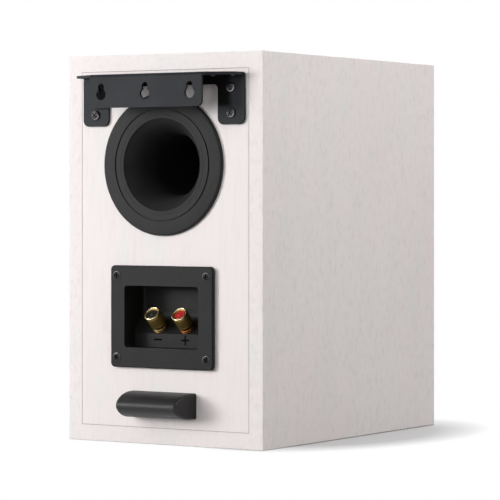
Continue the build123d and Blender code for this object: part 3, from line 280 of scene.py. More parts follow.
def feltFinish():
    # Needled felt: tangled hairs in two shades of grey.
    finish = Finish("needledFelt", specular=0.1, sheen=0.35, sheenRoughness=0.6)
    hairs = finish.noise(1500.0, 5.0, 0.7, (1.0, 0.35, 1.0), 1.2)
    tufts = finish.noise(180.0, 3.0)
    grey = finish.mix(tufts.above(0.42, 0.3), paint(96, 94, 92), paint(120, 118, 115))
    finish.drive(colour=finish.mix(hairs.above(0.5, 0.2), grey, paint(70, 68, 67)),
                 roughness=0.9 + tufts * 0.08)
    return finish.bump(hairs * 0.6 + tufts * 0.4, 0.5 * mm, 0.8)


dress(feltFinish(), "wall_lining")


def mouldedFinish(name, shade, roughness=0.5, grainScale=1400.0, specular=0.13):
    # Black moulded plastic with a spark-eroded grain: small rounded pits, slightly uneven gloss.
    finish = Finish(name, specular=specular)
    pits = finish.cells(grainScale)
    clouds = finish.noise(45.0, 3.0)
    dustAndGapShade = finish.noise(2600.0, 2.0)
    base = finish.mix(clouds.above(0.35, 0.35), tinted(shade, 0.84), paint(*shade))
    finish.drive(colour=finish.mix(dustAndGapShade.above(0.56, 0.18), base, tinted(shade, 1.16, 3)),
                 roughness=roughness + clouds * 0.10 + pits * 0.06)
    return finish.bump(pits, 0.03 * mm, 0.5)


portPlastic = mouldedFinish("portPlastic", (46, 46, 46), 0.42)
dress(portPlastic, "port_flange", "port_tube", "port_inner_flare")
dress(mouldedFinish("cupPlastic", (39, 39, 39), 0.4, 1600.0), "terminal_cup")
dress(mouldedFinish("faceplatePlastic", (38, 38, 40), 0.42, 1500.0), "tweeter_faceplate")
dress(mouldedFinish("chamberPlastic", (44, 44, 45), 0.5), "tweeter_chamber")
dress(mouldedFinish("nylon", (52, 52, 52), 0.4), "post_insulators", "board_standoffs")


def foamFinish():
    # Closed-cell foam: irregular open bubbles.
    finish = Finish("gasketFoam", specular=0.15)
    bubbles = finish.cells(1900.0)
    clouds = finish.noise(120.0, 2.0)
    finish.drive(colour=finish.mix(bubbles.above(0.25, 0.5), paint(16, 16, 16), paint(44, 44, 44)),
                 roughness=0.85 + clouds * 0.1)
    return finish.bump(bubbles, 0.15 * mm, 0.8)


dress(foamFinish(), "cup_gasket", "woofer_gasket", "tweeter_gasket")


def coatedSteelFinish(name, shade, roughness, paintedShade=None):
    # Powder coat: a fine orange peel, a little bluish, with a few paler dust specks. With paintedShade given,
    # a painted shadow darkens and roughens the inner corner behind the flange, where the flange shades it.
    finish = Finish(name, specular=0.12)
    peel = finish.noise(700.0, 3.0, 0.55)
    clouds = finish.noise(35.0, 3.0)
    specks = finish.cells(950.0)
    base = finish.mix(clouds.above(0.35, 0.35), tinted(shade, 0.86), paint(*shade))
    colour = finish.mix((1 - specks.above(0.10, 0.08)) * 0.5, base, tinted(shade, 1.25, 4))
    gloss = roughness + peel * 0.14
    if paintedShade:
        aside = finish.axis("X")
        corner = 1 - (aside * aside).above(paintedShade["aside"] ** 2, paintedShade["soft"] ** 2)
        corner = corner * (1 - finish.axis("Y").above(paintedShade["depth"], paintedShade["depthFade"]))
        corner = corner * finish.axis("Z").above(paintedShade["height"], paintedShade["heightFade"])
        colour, gloss = finish.mix(corner, colour, paintedShade["paintedShadow"]), gloss + corner * 0.4
    finish.drive(colour=colour, roughness=gloss)
    return finish.bump(peel, 0.05 * mm, 0.6)


# painted shadow: near-black colour on the ears' inner corner behind the bracket's flange, where its shade
# falls
bracketShadowPaint = {"aside": 60 * mm, "soft": 24 * mm, "depth": rearY + 2.6 * mm, "depthFade": 0.4 * mm,
            "height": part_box("wall_bracket")[1].z - 27 * mm, "heightFade": 3 * mm, "paintedShadow": paint(6, 6, 7)}
dress(coatedSteelFinish("bracketCoat", (43, 45, 49), 0.42, paintedShade=bracketShadowPaint), "wall_bracket")
dress(coatedSteelFinish("basketCoat", (40, 40, 42), 0.5), "woofer_basket")


def rubberFinish(name, shade, roughness, mottle=90.0, specular=0.26):
    # Moulded rubber: a soft bloom in patches and very fine flow lines.
    finish = Finish(name, specular=specular)
    bloom = finish.noise(mottle, 4.0, 0.6)
    fine = finish.noise(1700.0, 2.0)
    base = finish.mix(bloom.above(0.38, 0.32), tinted(shade, 0.8), paint(*shade))
    finish.drive(colour=finish.mix(fine.above(0.6, 0.15) * 0.5, base, tinted(shade, 1.3, 5)),
                 roughness=roughness + bloom * 0.14)
    return finish.bump(fine * 0.6 + bloom * 0.4, 0.05 * mm, 0.5)


bumperRubber = rubberFinish("bumperRubber", (25, 25, 25), 0.42, specular=0.4)
surroundRubber = rubberFinish("surroundRubber", (30, 30, 31), 0.46, 160.0)
dress(bumperRubber, "wall_bumper")
dress(rubberFinish("trimRubber", (40, 40, 41), 0.55), "woofer_trim")
dress(surroundRubber, "woofer_surround")


def metalFinish(name, tone, tarnish, roughness, stretch=(1, 1, 1), wear=0.5, highlightPolishColour=None):
    # Bare or plated metal: fine turned or rolled lines, with duller patches. Where a piece's points carry a
    # polishAndHighlight share above 0, the metal takes its paler colour and gloss: polish and painted
    # highlight.
    finish = Finish(name, metallic=1.0)
    lines = finish.noise(600.0, 3.0, 0.6, stretch)
    patches = finish.noise(110.0, 3.0, 0.6)
    dull = patches.above(0.42, 0.3) * wear
    colour, gloss = finish.mix(dull, tone, tarnish), roughness + dull * 0.14 + lines * 0.10
    if highlightPolishColour:
        share = finish.add("ShaderNodeAttribute", output="Fac", attribute_name="polishAndHighlight")
        colour = finish.mix(share, colour, highlightPolishColour)
        gloss = gloss + share * (0.16 - roughness)
    finish.drive(colour=colour, roughness=gloss)
    return finish.bump(lines, 0.012 * mm, 0.5)


# polish and painted highlight: the pale gold on the knobs' rims also paints the thin ring of light round each
# rim
gold = metalFinish("goldPlate", (0.46, 0.32, 0.10, 1.0), (0.28, 0.19, 0.055, 1.0), 0.36,
                   highlightPolishColour=(0.90, 0.76, 0.46, 1.0))
collarGold = metalFinish("collarGold", (0.26, 0.185, 0.065, 1.0), (0.16, 0.11, 0.035, 1.0), 0.38)
redGold = metalFinish("redGold", (0.25, 0.10, 0.028, 1.0), (0.15, 0.053, 0.015, 1.0), 0.38)
dress(gold, "black_knob", "red_knob")
dress(collarGold, "black_post_stud")
dress(redGold, "red_post_stud")
dress(metalFinish("darkWasher", (0.30, 0.26, 0.19, 1.0), (0.16, 0.14, 0.10, 1.0), 0.35),
      "black_clamp_washer", "red_clamp_washer")
dress(metalFinish("zincPlate", (0.66, 0.67, 0.68, 1.0), (0.50, 0.50, 0.46, 1.0), 0.3),
      "woofer_top_plate", "woofer_yoke", "tweeter_top_plate", "tweeter_yoke")
dress(metalFinish("tinPlate", (0.78, 0.78, 0.77, 1.0), (0.58, 0.58, 0.56, 1.0), 0.28),
      "solder_lugs", "post_nuts", "board_screws")
dress(metalFinish("formerFoil", (0.82, 0.82, 0.83, 1.0), (0.66, 0.66, 0.67, 1.0), 0.22, (1, 8, 1)),
      "woofer_former", "tweeter_former")
dress(metalFinish("domeMetal", (0.80, 0.81, 0.83, 1.0), (0.70, 0.71, 0.74, 1.0), 0.24, wear=0.3),
      "tweeter_dome")
blackSteel = metalFinish("blackenedSteel", (0.02, 0.02, 0.02, 1.0), (0.012, 0.012, 0.012, 1.0), 0.42,
                         highlightPolishColour=(0.075, 0.073, 0.075, 1.0))
# painted highlight: the pale colour paints the bright ring of light on the ear screws' crowns
ringHighlightSteel = metalFinish("blackSteelRingHighlight", (0.05, 0.05, 0.053, 1.0), (0.03, 0.03, 0.03, 1.0), 0.34,
                        highlightPolishColour=(0.42, 0.40, 0.43, 1.0))
dress(blackSteel, "cup_screws", "bracket_screws", "woofer_screws", "tweeter_screws")


def copperFinish(name, axisName, turnsPerMetre):
    # Enamelled wire laid turn by turn: a rounded ripple for each turn along the winding's axis.
    finish = Finish(name, metallic=0.85, coat=0.4, coatRoughness=0.15)
    ripple = (finish.axis(axisName) * (turnsPerMetre * tau)).wave() * 0.5 + 0.5
    patches = finish.noise(140.0, 3.0)
    dark, bright = (0.42, 0.16, 0.06, 1.0), (0.80, 0.38, 0.18, 1.0)
    finish.drive(colour=finish.mix(ripple * 0.75 + patches * 0.2, dark, bright),
                 roughness=0.24 + patches * 0.16)
    return finish.bump(ripple, 0.18 * mm, 0.9)


dress(copperFinish("voiceCoilWire", "Y", 2200.0), "woofer_coil", "tweeter_coil")
dress(copperFinish("chokeWire", "Z", 900.0), "bass_coil", "treble_coil")


def ferriteFinish():
    # Sintered ferrite: dense charcoal with grinding marks and small chips.
    finish = Finish("sinteredFerrite", specular=0.4)
    grains = finish.cells(900.0)
    clouds = finish.noise(70.0, 4.0)
    finish.drive(colour=finish.mix(clouds.above(0.4, 0.3), paint(44, 44, 47), paint(66, 66, 69)),
                 roughness=0.5 + grains * 0.2)
    return finish.bump(grains, 0.08 * mm, 0.6)


dress(ferriteFinish(), "woofer_magnet", "tweeter_magnet")


def plugFinish(name, shade, roughness):
    # Glossy plug with faint swirl marks from the mould.
    finish = Finish(name, specular=0.5, coat=0.3, coatRoughness=0.08)
    swirl = finish.noise(320.0, 3.0, 0.6, (1, 1, 1), 2.0)
    finish.drive(colour=finish.mix(swirl.above(0.4, 0.3), tinted(shade, 0.78), paint(*shade)),
                 roughness=roughness + swirl * 0.12)
    return finish.bump(swirl, 0.02 * mm, 0.4)


# painted reflection: the olive in the black plug's colour stands in for the gold rim mirrored in it
blackPlug = plugFinish("blackPlug", (36, 35, 27), 0.3)
redPlug = plugFinish("redPlug", (208, 44, 38), 0.3)
dress(blackPlug, "black_plug")
dress(redPlug, "red_plug")


def conePaperFinish():
    # Pressed pulp with a woven face: two crossed ripples and stray fibres.
    finish = Finish("wovenCone", specular=0.35)
    weave = finish.weave(700.0)
    fibres = finish.noise(500.0, 4.0, 0.6, (1, 1, 1), 0.8)
    finish.drive(colour=finish.mix(weave * 0.6 + fibres * 0.3, paint(34, 34, 36), paint(74, 74, 78)),
                 roughness=0.46 + fibres * 0.2)
    return finish.bump(weave * 0.75 + fibres * 0.25, 0.08 * mm, 0.7)


def capFinish():
    # Doped paper cap: smooth, with slow waves in its gloss.
    finish = Finish("dopedCap", specular=0.45)
    clouds = finish.noise(85.0, 3.0)
    fibres = finish.noise(900.0, 3.0, 0.6)
    finish.drive(colour=finish.mix(fibres.above(0.5, 0.2), paint(34, 34, 36), paint(48, 48, 51)),
                 roughness=0.34 + clouds * 0.16)
    return finish.bump(fibres * 0.5 + clouds * 0.5, 0.05 * mm, 0.5)


dress(conePaperFinish(), "woofer_cone")
dress(capFinish(), "woofer_dust_cap")


def clothFinish(name, dark, bright, pitch):
    # Resin-dipped weave: over and under threads in both directions.
    finish = Finish(name, specular=0.3, sheen=0.15)
    weave = finish.weave(pitch)
    stains = finish.noise(90.0, 3.0)
    finish.drive(colour=finish.mix(weave * 0.7 + stains * 0.2, dark, bright),
                 roughness=0.66 + stains * 0.2)
    return finish.bump(weave, 0.1 * mm, 0.8)


spiderCloth = clothFinish("spiderCloth", paint(150, 112, 46), paint(214, 176, 96), 900.0)
tweeterCloth = clothFinish("tweeterCloth", paint(22, 22, 23), paint(48, 48, 50), 1500.0)
dress(spiderCloth, "woofer_spider")
dress(tweeterCloth, "tweeter_surround")


def circuitFinish():
    # Solder mask over copper: paler tracks in a brick layout under a green lacquer.
    finish = Finish("solderMask", specular=0.5, coat=0.4, coatRoughness=0.2)
    inputs = {"Vector": finish.place((60.0, 60.0, 1.0)), "Scale": 1.0, "Mortar Size": 0.1,
              "Color1": (0, 0, 0, 1), "Color2": (0, 0, 0, 1), "Mortar": white}
    tracks = finish.add("ShaderNodeTexBrick", inputs, output=1)
    clouds = finish.noise(130.0, 3.0)
    base = finish.mix(clouds.above(0.4, 0.3), paint(20, 88, 44), paint(26, 102, 52))
    finish.drive(colour=finish.mix(tracks * 0.8, base, paint(64, 138, 74)), roughness=0.3 + clouds * 0.15)
    return finish.bump(tracks, 0.05 * mm, 0.6)


dress(circuitFinish(), "crossover_board")


def wrapFinish(name, shade, end, roughness=0.3):
    # Wrapped film or fired cement: a plain colour with streaks along the piece.
    finish = Finish(name, specular=0.45)
    streaks = finish.noise(260.0, 3.0, 0.6, (0.2, 1.0, 1.0))
    finish.drive(colour=finish.mix(streaks.above(0.42, 0.3), paint(*shade), paint(*end)),
                 roughness=roughness + streaks * 0.2)
    return finish.bump(streaks, 0.06 * mm, 0.5)


dress(wrapFinish("filmWrap", (176, 44, 32), (150, 34, 26)), "capacitors")
dress(wrapFinish("firedCement", (226, 224, 214), (206, 202, 190), 0.7), "resistors")
print("finishes made:", len(bpy.data.materials))


def makeMesh(name, points, faces, material, smooth=True):
    # An object at the origin whose mesh holds a grid's points, in metres.
    mesh = bpy.data.meshes.new(name)
    mesh.from_pydata(points.reshape(-1, 3).tolist(), [], faces.tolist())
    mesh.shade_smooth() if smooth else mesh.shade_flat()
    made = bpy.data.objects.new(name, mesh)
    bpy.context.scene.collection.objects.link(made)
    mesh.materials.append(material)
    return made


def unit(vector):
    vector = np.asarray(vector, float)
    return vector / np.linalg.norm(vector)


def gridFaces(rows, columns, closeRows=False, closeColumns=True):
    # Four-sided faces between neighbouring points of a grid; a closed side joins its last line to its first.
    down = np.arange(rows if closeRows else rows - 1)
    along = np.arange(columns if closeColumns else columns - 1)
    row, column = (part.ravel() for part in np.meshgrid(down, along, indexing="ij"))
    nextRow, nextColumn = (row + 1) % rows, (column + 1) % columns
    return np.stack([row * columns + column, row * columns + nextColumn,
                     nextRow * columns + nextColumn, nextRow * columns + column], axis=1)


def stretched(profile, spacing):
    # The same profile with more points along its straight runs, no further apart than spacing.
    profile = np.asarray(profile, float)
    runs = np.linalg.norm(np.diff(profile, axis=0), axis=1)
    ends = np.concatenate([[0], np.cumsum(np.maximum(1, np.ceil(runs / spacing)))])
    places = np.arange(int(ends[-1]) + 1)
    return np.stack([np.interp(places, ends, profile[:, side]) for side in (0, 1)], axis=1)


def turned(profile, steps, shape=None):
    # Each profile point (radius, height) goes round the axis; shape may change both by the angle.
    angle = np.linspace(0, tau, steps, endpoint=False)[None, :]
    radius = np.repeat(profile[:, :1], steps, axis=1)
    height = np.repeat(profile[:, 1:], steps, axis=1)
    if shape:
        radius, height = shape(radius, height, angle)
    return np.stack([radius * np.cos(angle), radius * np.sin(angle), height], axis=-1)


def laid(points, origin, axis, side):
    # Local millimetres into place: x along side, z along axis, y square to both.
    axis, side = unit(axis), unit(side)
    along = np.stack([side, np.cross(axis, side), axis])
    return np.asarray(origin) + points @ along * mm


def standing(name, points, foot, outwards, finish, side=(1, 0, 0), closeRows=False):
    # A grid of local millimetres made a piece that stands on its foot and points outwards.
    faces = gridFaces(*points.shape[:2], closeRows=closeRows)
    return makeMesh(name, laid(points, foot, outwards, side), faces, finish.material)


def smoothStep(value, low, high):
    # 0 below low, 1 above high, and three squares less two cubes of the share between.
    share = np.clip((value - low) / (high - low), 0, 1)
    return share * share * (3 - 2 * share)


def weld(made):
    # Joins the points that meet in a pole, which lie less than a tenth of a micrometre apart.
    mesh = bmesh.new()
    mesh.from_mesh(made.data)
    bmesh.ops.remove_doubles(mesh, verts=mesh.verts, dist=0.0001 * mm)
    mesh.to_mesh(made.data)
    mesh.free()
    return made


def sharpen(made, angle):
    # Edges that bend by more than this many degrees stay sharp in the smooth shading.
    made.data.set_sharp_from_angle(angle=radians(angle))
    return made


def markPolishAndHighlight(made, shares):
    # One number for each point: 1 where the metal is painted bright, as polish and as a painted highlight.
    layer = made.data.attributes.new("polishAndHighlight", "FLOAT", "POINT")
    layer.data.foreach_set("value", np.ascontiguousarray(shares, np.float32).ravel())


def settle(made, body, slot, *replaced):
    # The piece rides on a CAD body, and may stand in for CAD pieces.
    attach(made, body)
    if replaced:
        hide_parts(*replaced)


# highlightAt and highlightWidth place the painted highlight ring on each screw crown, as shares of its radius
screwHead = {"shank": 1.5, "sink": 1.8, "rows": 40, "steps": 128, "arm": 0.46, "reach": 0.6, "wall": 0.22,
             "taper": 0.45, "bulge": 0.6, "highlightAt": 0.86, "highlightWidth": 0.07, "firstTurn": 0.6,
             "nextTurn": 2.4}
screwStyles = {
    "cup": {"held": 3.2, "head": 3.7, "rim": 0.12, "top": 0.6, "power": 3.4, "recess": 1.5, "length": 12},
    "ear": {"held": 3.0, "head": 3.7, "rim": 0.7, "top": 2.1, "power": 3.2, "recess": 1.6, "length": 12},
    "woofer": {"held": 3.0, "head": 3.3, "rim": 0.4, "top": 1.15, "power": 2.8, "recess": 1.1, "length": 16},
    "tweeter": {"held": 3.2, "head": 3.12, "rim": -0.08, "top": -0.02, "power": 2.0, "recess": 1.2,
                "length": 16},
}


def crossCut(radius, angle, headRadius):
    # 1 inside two crossed bars, 0 outside, with sloping walls; shallower towards the tips.
    x, y = np.abs(radius * np.cos(angle)), np.abs(radius * np.sin(angle))
    reach, arm = screwHead["reach"] * headRadius, screwHead["arm"]
    level = np.minimum(arm - y, reach - x)
    upright = np.minimum(arm - x, reach - y)
    inside = np.clip(np.maximum(level, upright) / screwHead["wall"], 0, 1)
    return inside * (1 - screwHead["taper"] * radius / reach)


def screwSurface(style):
    # Point, shank and underside of the head, then the crown from rim to middle, with the cross cut in. The
    # crown stands over its rim by one less a power of the share of the radius, the whole to a second power.
    shank, head, rim, length = screwHead["shank"], style["head"], style["rim"], style["length"]
    share = np.linspace(1, 0, screwHead["rows"])
    crown = rim + (style["top"] - rim) * (1 - share ** style["power"]) ** screwHead["bulge"]
    seat = [(shank, -screwHead["sink"]), (style["held"] - 0.1, -0.1)] if rim < 0.3 else [(shank, 0)]
    seat += [(head - 0.12, min(0, rim - 0.1)), (head, min(0, rim - 0.1) + 0.1)]
    under = np.array([(0, -length), (shank * 0.35, -length), (shank, -length + 2 * shank), *seat])
    profile = np.concatenate([under, np.stack([head * share, crown], axis=1)])
    onCrown = (np.arange(len(profile)) >= len(under))[:, None]

    def shape(radius, height, angle):
        return radius, height - np.where(onCrown, crossCut(radius, angle, head) * style["recess"], 0)

    return turned(profile, screwHead["steps"], shape)


def crossScrews(name, node, centres, outwards, style, finish=blackSteel):
    # The same screw at each centre, each stopped at a turn of its own. A painted highlight share is a bell
    # curve over the radius, so each crown carries one bright ring, standing in for the glint round its rim.
    one = screwSurface(style)
    rows, steps = one.shape[:2]
    turns = screwHead["firstTurn"] + screwHead["nextTurn"] * np.arange(len(centres))
    level = unit(np.cross(outwards, (0, 0, 1)))
    points = [laid(one, centre, outwards, level * cos(turn) + np.array((0, 0, sin(turn))))
              for centre, turn in zip(centres, turns)]
    faces = [gridFaces(rows, steps) + number * rows * steps for number in range(len(centres))]
    made = makeMesh(name, np.concatenate(points), np.concatenate(faces), finish.material)
    out = np.hypot(one[..., 0], one[..., 1]) / style["head"]
    highlightRing = np.exp(-((out - screwHead["highlightAt"]) / screwHead["highlightWidth"]) ** 2) * (one[..., 2] > style["rim"])
    markPolishAndHighlight(made, np.tile(highlightRing.ravel(), len(centres)))
    settle(sharpen(weld(made), 38), "cabinet", "black_screw", node)


def cornerPlaces(node, held, y):
    # Centres in the corners of a CAD node's box, the CAD head's radius (held, in mm) from its sides.
    centre, half = middleOf(node), halfOf(node) - held * mm
    return [(centre[0] + i * half[0], y, centre[2] + k * half[2]) for i in (-1, 1) for k in (-1, 1)]


def circlePlaces(node, held, count, start, y):
    # Centres evenly round a circle, the first at the start angle in degrees.
    centre = middleOf(node)
    radius = (halfOf(node)[0] - held * mm) / cos(radians(start))
    turns = [radians(start) + tau * number / count for number in range(count)]
    return [(centre[0] + radius * cos(turn), y, centre[2] + radius * sin(turn)) for turn in turns]


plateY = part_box("cup_screws")[1].y
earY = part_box("bracket_screws")[1].y - 2 * mm     # the ear's face lies this far under the screws' tops
crossScrews("cupCrossScrews", "cup_screws", cornerPlaces("cup_screws", 3.2, plateY), (0, 1, 0),
            screwStyles["cup"])
crossScrews("bracketCrossScrews", "bracket_screws", cornerPlaces("bracket_screws", 3.0, earY), (0, 1, 0),
            screwStyles["ear"], ringHighlightSteel)
crossScrews("wooferCrossScrews", "woofer_screws", circlePlaces("woofer_screws", 3.0, 6, 30, frontY),
            (0, -1, 0), screwStyles["woofer"])
crossScrews("tweeterCrossScrews", "tweeter_screws", circlePlaces("tweeter_screws", 3.2, 4, 45, frontY),
            (0, -1, 0), screwStyles["tweeter"])
print("screws made")

port = {"flange": 55.0, "face": 3.0, "edge": 1.6, "groove": 43.5, "grooveWidth": 1.0, "grooveDepth": 0.8,
        "chamfer": 0.15, "line": 2.8, "lineWidth": 0.4, "lineDepth": 0.14, "lineSlope": 0.1, "mouth": 35.4,
        "bead": 1.0, "bore": 23.5, "funnelEnd": -27.0, "shoulder": -15.0, "hole": 36.2, "holeDepth": 6.0,
        "sleeve": 28.5, "wall": 26.0, "steps": 256}


def portSurface(tubeEnd):
    # Closed section turned round the port's axis: tube, sleeve, flange, groove, fine line, rolled lip, then a
    # funnel whose radius follows a circular arc down to the bore.
    face, edge, bore, mouth, bead = port["face"], port["edge"], port["bore"], port["mouth"], port["bead"]
    line, slope, chamfer = mouth + port["line"], port["lineSlope"], port["chamfer"]
    quarter = np.linspace(0, pi / 2, 8)
    outside = [(bore, tubeEnd), (port["wall"], tubeEnd), (port["wall"], port["funnelEnd"]),
               (port["sleeve"], port["funnelEnd"]), (port["sleeve"], port["shoulder"]),
               (port["hole"], -port["holeDepth"]), (port["hole"], 0), (port["flange"], 0)]
    rounding = [(port["flange"] - edge + edge * cos(turn), face - edge + edge * sin(turn))
                for turn in quarter]
    near, far = port["groove"] + port["grooveWidth"] / 2, port["groove"] - port["grooveWidth"] / 2
    low, shallow = face - port["grooveDepth"], face - port["lineDepth"]
    width = port["lineWidth"]
    ring = [(near + chamfer, face), (near, face - chamfer), (near, low), (far, low), (far, face - chamfer),
            (far - chamfer, face), (line + width + slope, face), (line + width, shallow),
            (line, shallow), (line - slope, face), (mouth + bead + slope / 2, face)]
    lipTurn = np.linspace(pi * 0.5, pi, 9)
    lip = [(mouth + bead + bead * cos(turn), face - bead + bead * sin(turn)) for turn in lipTurn]
    top = lip[-1][1]
    drop, growth = top - port["funnelEnd"], mouth - bore
    arc = (drop ** 2 + growth ** 2) / (2 * growth)
    down = np.linspace(0, 1, 36)[1:] * drop
    funnel = np.stack([bore + arc - np.sqrt(arc ** 2 - (drop - down) ** 2), top - down], axis=1)
    outline = np.concatenate([stretched(outside, 6.0), rounding, stretched(ring, 3.0), lip, funnel])
    inside = stretched([funnel[-1], (bore, tubeEnd)], 8.0)[1:-1]
    return turned(np.concatenate([outline, inside]), port["steps"])


tubeLow = (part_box("port_tube")[0].y - rearY) / mm
portX, _, portZ = middleOf("port_flange")
portBody = standing("portFunnel", portSurface(tubeLow), (portX, rearY, portZ), (0, 1, 0), portPlastic,
                    side=(-1, 0, 0), closeRows=True)
settle(sharpen(portBody, 30), "cabinet", "port_plastic", "port_flange", "port_tube")
print("port made")

post = {"bore": 2.06, "radius": 6.4, "length": 12.9, "foot": 0.4, "rim": 1.1, "round": 0.5, "sink": 2.6,
        "seat": 4.3, "slope": 1.5, "seatChamfer": 0.2, "teeth": 72, "toothDepth": 0.09, "gripLow": 2.6,
        "gripHigh": 10.9, "gripFade": 0.25, "groove": 0.16, "grooveAside": 0.3, "grooveWidth": 0.2,
        "polishGlintLow": 0.9, "polishGlintHigh": 0.5, "lift": 4.5, "steps": 432}
stud = {"radius": 2.0, "inside": 12.0, "end": 13.2, "pitch": 0.7, "threadDepth": 0.28, "tip": 0.3,
        "collar": 6.1, "height": 3.2, "chamfer": 0.5, "footRound": 0.2, "notch": (1.1, 1.3, 1.7, 1.9),
        "notchDepth": 0.35, "steps": 96}
plug = {"radius": 4.2, "thickness": 1.75, "round": 0.4, "dish": 0.2, "pin": 1.5, "pinSlope": 0.1, "steps": 96}


def knobSurface():
    # A closed section carried round the post: foot, ribbed grip between two turned lines, rounded rim and
    # socket. Each rib is a raised cosine of the angle to a power, each line a bell curve over the height.
    radius, length, foot, edge = post["radius"], post["length"], post["foot"], post["round"]
    inner, floor = radius - post["rim"], length - post["sink"]
    quarter = np.linspace(0, pi / 2, 7)
    profile = [(post["bore"], 0), (radius - 2.5 * foot, 0), (radius - foot, foot), (radius - foot, 3 * foot),
               (radius, 4 * foot)]
    profile += [(radius - edge + edge * cos(turn), length - edge + edge * sin(turn)) for turn in quarter]
    profile += [(inner + edge * (1 - sin(turn)), length - edge + edge * cos(turn)) for turn in quarter]
    chamfer, slope = post["seatChamfer"], length - post["slope"]
    profile += [(post["seat"] + chamfer, slope), (post["seat"], slope - chamfer), (post["seat"], floor),
                (post["bore"], floor), (post["bore"], 0)]
    profile = stretched(profile, 0.2)[:-1]

    def shape(distance, height, angle):
        outside = distance > radius - 0.02
        grip = smoothStep(height, post["gripLow"], post["gripLow"] + post["gripFade"])
        grip *= 1 - smoothStep(height, post["gripHigh"] - post["gripFade"], post["gripHigh"])
        rib = (0.5 - 0.5 * np.cos(post["teeth"] * angle)) ** 1.5
        places = (post["gripLow"] - post["grooveAside"], post["gripHigh"] + post["grooveAside"])
        lines = sum(np.exp(-((height - place) / post["grooveWidth"]) ** 2) for place in places)
        cut = post["toothDepth"] * rib * grip + post["groove"] * lines
        return distance - np.where(outside, cut, 0), height

    return turned(profile, post["steps"], shape)


def studSurface():
    # Stud and notched collar turned round the post. Above the collar the radius loses a triangle wave of the
    # height over the pitch less the angle over a turn, which is a screw thread.
    radius, collar, top, end = stud["radius"], stud["collar"], stud["height"], stud["end"]
    inside, chamfer, foot = stud["inside"], stud["chamfer"], stud["footRound"]
    waist = collar - stud["notchDepth"]
    notch = list(zip((collar, waist, waist, collar), stud["notch"]))
    lower = [(0, -inside), (radius - 2 * foot, -inside), (radius, 2 * foot - inside), (radius, 0),
             (collar - foot, 0), (collar, foot), *notch,
             (collar, top - chamfer), (collar - chamfer, top), (radius - 0.05, top)]
    upper = [(radius, top + 0.1), (radius, end - stud["tip"]), (radius - 0.5, end), (0, end)]
    profile = np.concatenate([stretched(lower, 0.5), stretched(upper, 0.1)])

    def shape(distance, height, angle):
        threaded = (height > top + 0.05) & (distance > radius - 0.4)
        turns = height / stud["pitch"] - angle / tau
        depth = stud["threadDepth"] * np.abs(2 * (turns - np.floor(turns)) - 1)
        return distance - np.where(threaded, depth, 0), height

    return turned(profile, stud["steps"], shape)


def plugSurface():
    # Dished disc with a rounded edge and a raised pin cap in its middle.
    radius, thick, edge, pin = plug["radius"], plug["thickness"], plug["round"], plug["pin"]
    slope, dish = plug["pinSlope"], plug["dish"]
    quarter = np.linspace(0, pi / 2, 6)
    profile = [(0, 0), (radius, 0)]
    profile += [(radius - edge + edge * cos(turn), thick - edge + edge * sin(turn)) for turn in quarter]
    profile += [(radius - 3 * edge, thick - 0.6 * dish), (pin + 0.45, thick - dish),
                (pin + slope, thick - slope), (pin, thick + slope),
                (pin - 3 * slope, thick + dish), (0, thick + 1.1 * dish)]
    return turned(stretched(profile, 0.3), plug["steps"])


joints = {joint["name"]: joint for joint in frame["joints"]}
for colour, plugPaint, collar in (("black", blackPlug, collarGold), ("red", redPlug, redGold)):
    joint = joints[colour + "_post_turn"]
    knobFoot, outwards = np.array(joint["pos_m"]), unit(joint["axis"])
    collarFoot = knobFoot - outwards * post["lift"] * mm
    plugFoot = knobFoot + outwards * (post["length"] - post["sink"]) * mm
    turning = colour + "_knob_turning"
    points = knobSurface()
    knob = standing(colour + "RibbedKnob", points, knobFoot, outwards, gold, closeRows=True)
    below = post["length"] - points[..., 2]
    # the rim's pale gold is polish from handling and a painted highlight ring
    markPolishAndHighlight(knob, 1 - smoothStep(below, post["polishGlintHigh"], post["polishGlintLow"]))
    settle(sharpen(knob, 32), turning, "gold", colour + "_knob")
    threaded = standing(colour + "ThreadedStud", studSurface(), collarFoot, outwards, collar)
    settle(sharpen(weld(threaded), 35), "cabinet", "gold", colour + "_post_stud")
    dished = standing(colour + "DishedPlug", plugSurface(), plugFoot, outwards, plugPaint)
    settle(sharpen(weld(dished), 35), turning, colour + "_insert", colour + "_plug")
print("binding posts made")

sign = {"length": 7.8, "width": 1.3, "sunk": 0.2, "proud": 0.06, "step": 0.01, "low": 21.5, "inset": 10.7,
        "round": 9}
# painted shade: the near-black bars fill the moulded signs' grooves, standing in for the shade inside them
signShadePaint = mouldedFinish("signPaintedShade", (7, 7, 7), 0.75, specular=0.05)


def signBar(centre, turn, lift):
    # Half circles round both ends of a bar, as a closed line, with a low and a high copy and their middles.
    spin = np.linspace(-pi / 2, pi / 2, sign["round"])
    reach, half = (sign["length"] - sign["width"]) / 2, sign["width"] / 2
    end = np.stack([reach + half * np.cos(spin), half * np.sin(spin)], axis=1)
    line = np.concatenate([end, -end]) @ np.array([(cos(turn), sin(turn)), (-sin(turn), cos(turn))])
    levels = np.array((-sign["sunk"], -sign["sunk"], sign["proud"] + lift, sign["proud"] + lift))
    sizes = np.array((0.0, 1.0, 1.0, 0.0))
    points = np.concatenate([line[None] * sizes[:, None, None],
                             np.broadcast_to(levels[:, None, None], (4, len(line), 1))], axis=-1)
    return laid(points, centre, (0, 1, 0), (-1, 0, 0))


